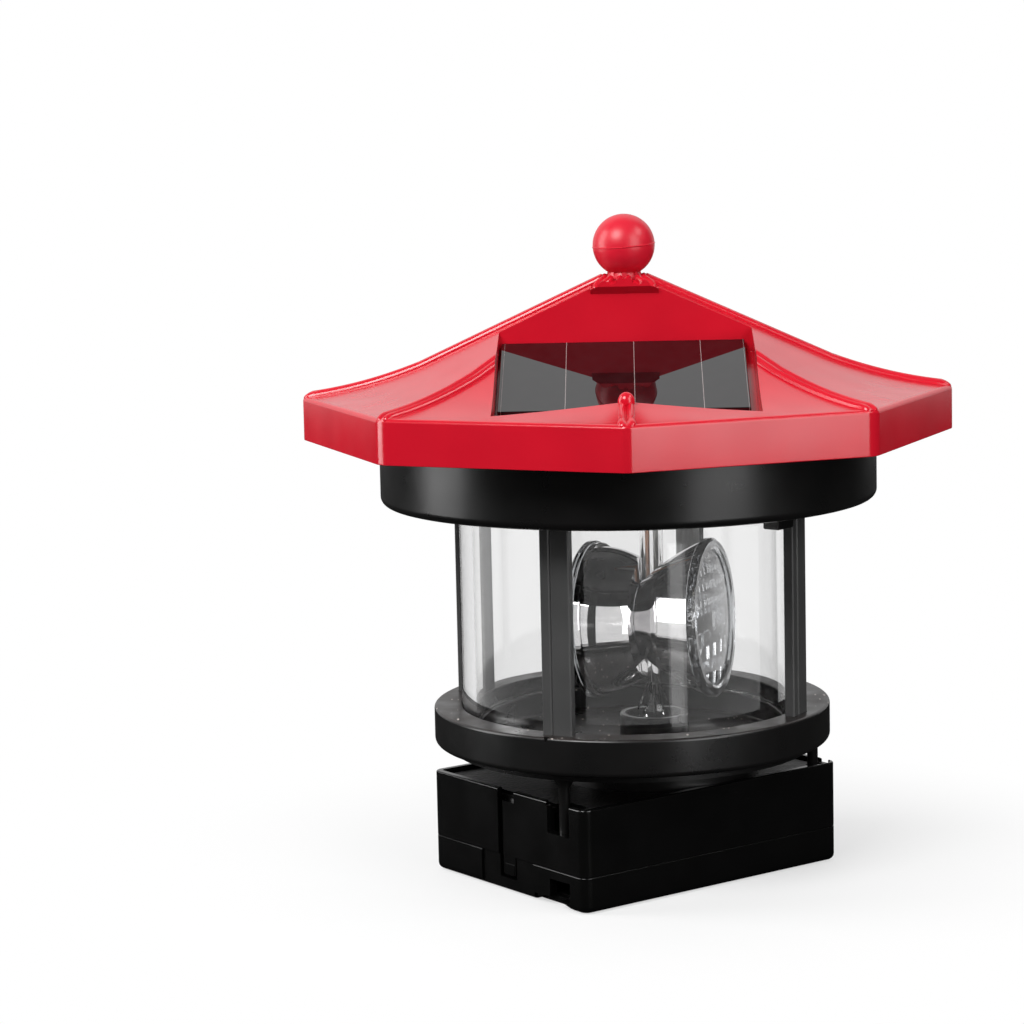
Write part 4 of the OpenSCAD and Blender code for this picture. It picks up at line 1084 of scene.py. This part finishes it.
for cut in cuts:
    combine(case, cut, "DIFFERENCE")
placed(case, BOX)
combine(case, placed(block("slit", (18.9, -2.5, 9), (20.1, 2.5, 18)), turned(67.5)), "DIFFERENCE")
settle(case, "battery_case", box_abs)
second_finish(case, leather, lambda face: face.normal.z > 0.9 and 13.6 * MM < face.center.z < 14.3 * MM)

# %% Tray
def tray_blank(name):
    """The tray and the door are cut from the same shallow box."""
    blank = block(name, (-HALF_L, -HALF_W, 0), (HALF_L, HALF_W, SEAM), 1.5, 0.9, 0.12)
    return combine(blank, block("cavity", (-22.6, -16.8, 1.4), (22.6, 16.8, 10.4), 0.8, 0.2), "DIFFERENCE")


tray = tray_blank("base_tray")
for p in CASE_SCREWS:
    combine(tray, rod("boss", 2.7, 1, 3.1, p, 48), "UNION")
DOOR_U, DOOR_V = 15.5, -6.1
scallop = placed(rod("scallop", 9, -24.9, -22.3), moved(0, -10.5, -7.8) @ turned(90, "Y"))
for cut in ([block("door_room", (-26, DOOR_V - 0.15, -1), (DOOR_U + 0.15, 34, 19)),
             block("groove", (-25, DOOR_V - 1.1, 0.35), (DOOR_U + 0.1, DOOR_V + 0.9, 1.05)),
             block("end_window", (-25, -14.7, 1), (-21.9, -10.1, 3.8)), scallop,
             block("knob_slot", (7.4, -12.3, -1), (14.6, -9.7, 2)),
             block("knob_dish", (6.4, -13.3, -1), (15.6, -8.7, 0.6))]
            + [stepped("screw_well", -1, [(2.1, 2), (1.15, 8)], p, 48) for p in CASE_SCREWS]):
    combine(tray, cut, "DIFFERENCE")
placed(tray, BOX)
settle(tray, "base_tray", box_abs)

# %% Door
door = tray_blank("battery_door")
combine(door, block("door_part", (-26, DOOR_V, -1), (DOOR_U, 34, 19)), "INTERSECT")
for part in (block("tongue", (-22.5, DOOR_V - 0.75, 0.47), (15.3, DOOR_V + 0.05, 0.93)),
             block("hook", (13.5, 0, 1.5), (16.7, 4, 2.3)),
             block("hook_foot", (13.5, 0, 1.3), (15.45, 4, 1.6))):
    combine(door, part, "UNION")
for cut in ([block("latch_room", (-25, -1.95, 1.8), (-22, 1.95, 21.8)),
             block("end_step", (-25, DOOR_V - 1, -1), (-23.6, 6.1, 19))]
            + [block("grip", (-19.9 + 1.4 * i, 5.5, -0.1), (-19.2 + 1.4 * i, 13.5, 0.4), 0.3)
               for i in range(5)]):
    combine(door, cut, "DIFFERENCE")
placed(door, BOX)
settle(door, "battery_door", box_abs, "door")

# %% [markdown]
# ## Floor and light
#
# The object stands on a plain pale floor before a white wall. The camera sees both as
# white, and only the contact shadow stays. In the room itself the floor and the camera's
# side are dark, so upright black walls mirror darkness and look deep, while the sloping
# roof and the panel mirror the white wall. Two soft boxes stand left and right: they make
# the two upright stripes on the black ring and the pale veil on one side of the fascia. A
# small low strip makes the pale upright band in the glazing. The floor is clear from below,
# so the box's underside can be looked at too.

# %% Floor that stays white to the camera
bpy.ops.object.select_all(action="DESELECT")
bpy.ops.mesh.primitive_plane_add(size=5, location=(0, 1.5, -0.0001))
floor = bpy.context.object
floor.name = "studio_floor"
paper, paper_shader = surface("white_paper", {"Base Color": linear("E8E8E8"), "Roughness": 0.9})
shade = add(paper, "BsdfDiffuse", {"Color": linear("262626")})
bright = add(paper, "Emission", {"Color": (1, 1, 1, 1), "Strength": 1})
seen = add(paper, "LightPath")
looked = add(paper, "Math", {0: seen.outputs["Is Camera Ray"], 1: seen.outputs["Is Transmission Ray"]},
             operation="MAXIMUM")
where = add(paper, "TexCoord").outputs["Object"]
from_object = add(paper, "VectorMath", {0: where, 1: (0, -1.5, 0)}, operation="DISTANCE").outputs["Value"]
fade = add(paper, "MapRange", {"Value": from_object, "From Min": 0.025, "From Max": 0.085,
                                         "To Min": 0.55, "To Max": 1.0}, interpolation_type="SMOOTHSTEP")
near = add(paper, "MixShader", {0: fade, 1: paper_shader, 2: bright})
split = add(paper, "MixShader", {0: looked, 1: shade, 2: near})
clear = add(paper, "BsdfTransparent")
below = add(paper, "NewGeometry").outputs["Backfacing"]
open_below = add(paper, "MixShader", {0: below, 1: split, 2: clear})
link(paper, open_below, paper.node_tree.nodes["Material Output"], "Surface")
floor.data.materials.append(paper)

# %% White wall behind
bpy.ops.object.select_all(action="DESELECT")
bpy.ops.mesh.primitive_plane_add(size=1, location=(-0.15, 0.6, 0.6), rotation=(math.radians(90), 0, 0))
wall = bpy.context.object
wall.name = "studio_wall"
wall.scale = (1.5, 1.25, 1)
lit, lit_shader = surface("lit_white_wall", {"Base Color": linear("000000"), "Roughness": 1})
wall_height = add(lit, "SeparateXYZ", {"Vector": add(lit, "TexCoord").outputs["Object"]}).outputs["Y"]
dimmer = add(lit, "MapRange", {"Value": wall_height, "From Min": -0.5, "From Max": 0.1, "To Min": 0.66,
                                         "To Max": 0.9})
wall_seen = add(lit, "LightPath").outputs["Is Camera Ray"]
glow = add(lit, "Math", {0: dimmer, 1: wall_seen}, operation="MAXIMUM")
wall_light = add(lit, "Emission", {"Color": (1, 1, 1, 1), "Strength": glow})
link(lit, wall_light, lit.node_tree.nodes["Material Output"], "Surface")
wall.data.materials.append(lit)

# %% World and lamps
world = bpy.data.worlds.new("studio")
bpy.context.scene.world = world
world.use_nodes = True
air = world.node_tree.nodes["Background"]
air.inputs["Color"].default_value = (1, 1, 1, 1)
rays = add(world, "LightPath").outputs
looked_at = add(world, "Math", {0: rays["Is Camera Ray"], 1: rays["Is Transmission Ray"]}, operation="MAXIMUM")
room = add(world, "MapRange", {"Value": rays["Is Glossy Ray"], "To Min": 0.1, "To Max": 0.03})
level = add(world, "MapRange", {"Value": looked_at, "To Min": room, "To Max": 1.0})
link(world, level, air, "Strength")


def soft_box(name, place, target, width, height, watts):
    """A flat soft light at "place" that faces "target"."""
    data = bpy.data.lights.new(name, "AREA")
    data.shape, data.size, data.size_y, data.energy = "RECTANGLE", width, height, watts
    lamp = bpy.data.objects.new(name, data)
    bpy.context.scene.collection.objects.link(lamp)
    lamp.location = place
    lamp.rotation_euler = (Vector(target) - Vector(place)).to_track_quat("-Z", "Y").to_euler()
    return lamp


HEAD = (0, 0, 0.06)
soft_box("overhead", (0, 0.15, 0.9), HEAD, 0.9, 0.9, 0.5)
soft_box("key", (-0.55, -0.85, 0.95), HEAD, 0.6, 0.6, 15)
soft_box("left_box", (-0.42, 0.0, 0.2), (0, 0, 0.1), 0.2, 0.42, 1.4)
soft_box("right_box", (0.3, -0.34, 0.2), (0, 0, 0.1), 0.24, 0.42, 1.2)
soft_box("right_fill", (0.42, -0.1, 0.48), HEAD, 0.2, 0.2, 0.7)
soft_box("low_strip", (0.068, -0.122, 0.017), (0, 0, 0.03), 0.024, 0.034, 0.0034)
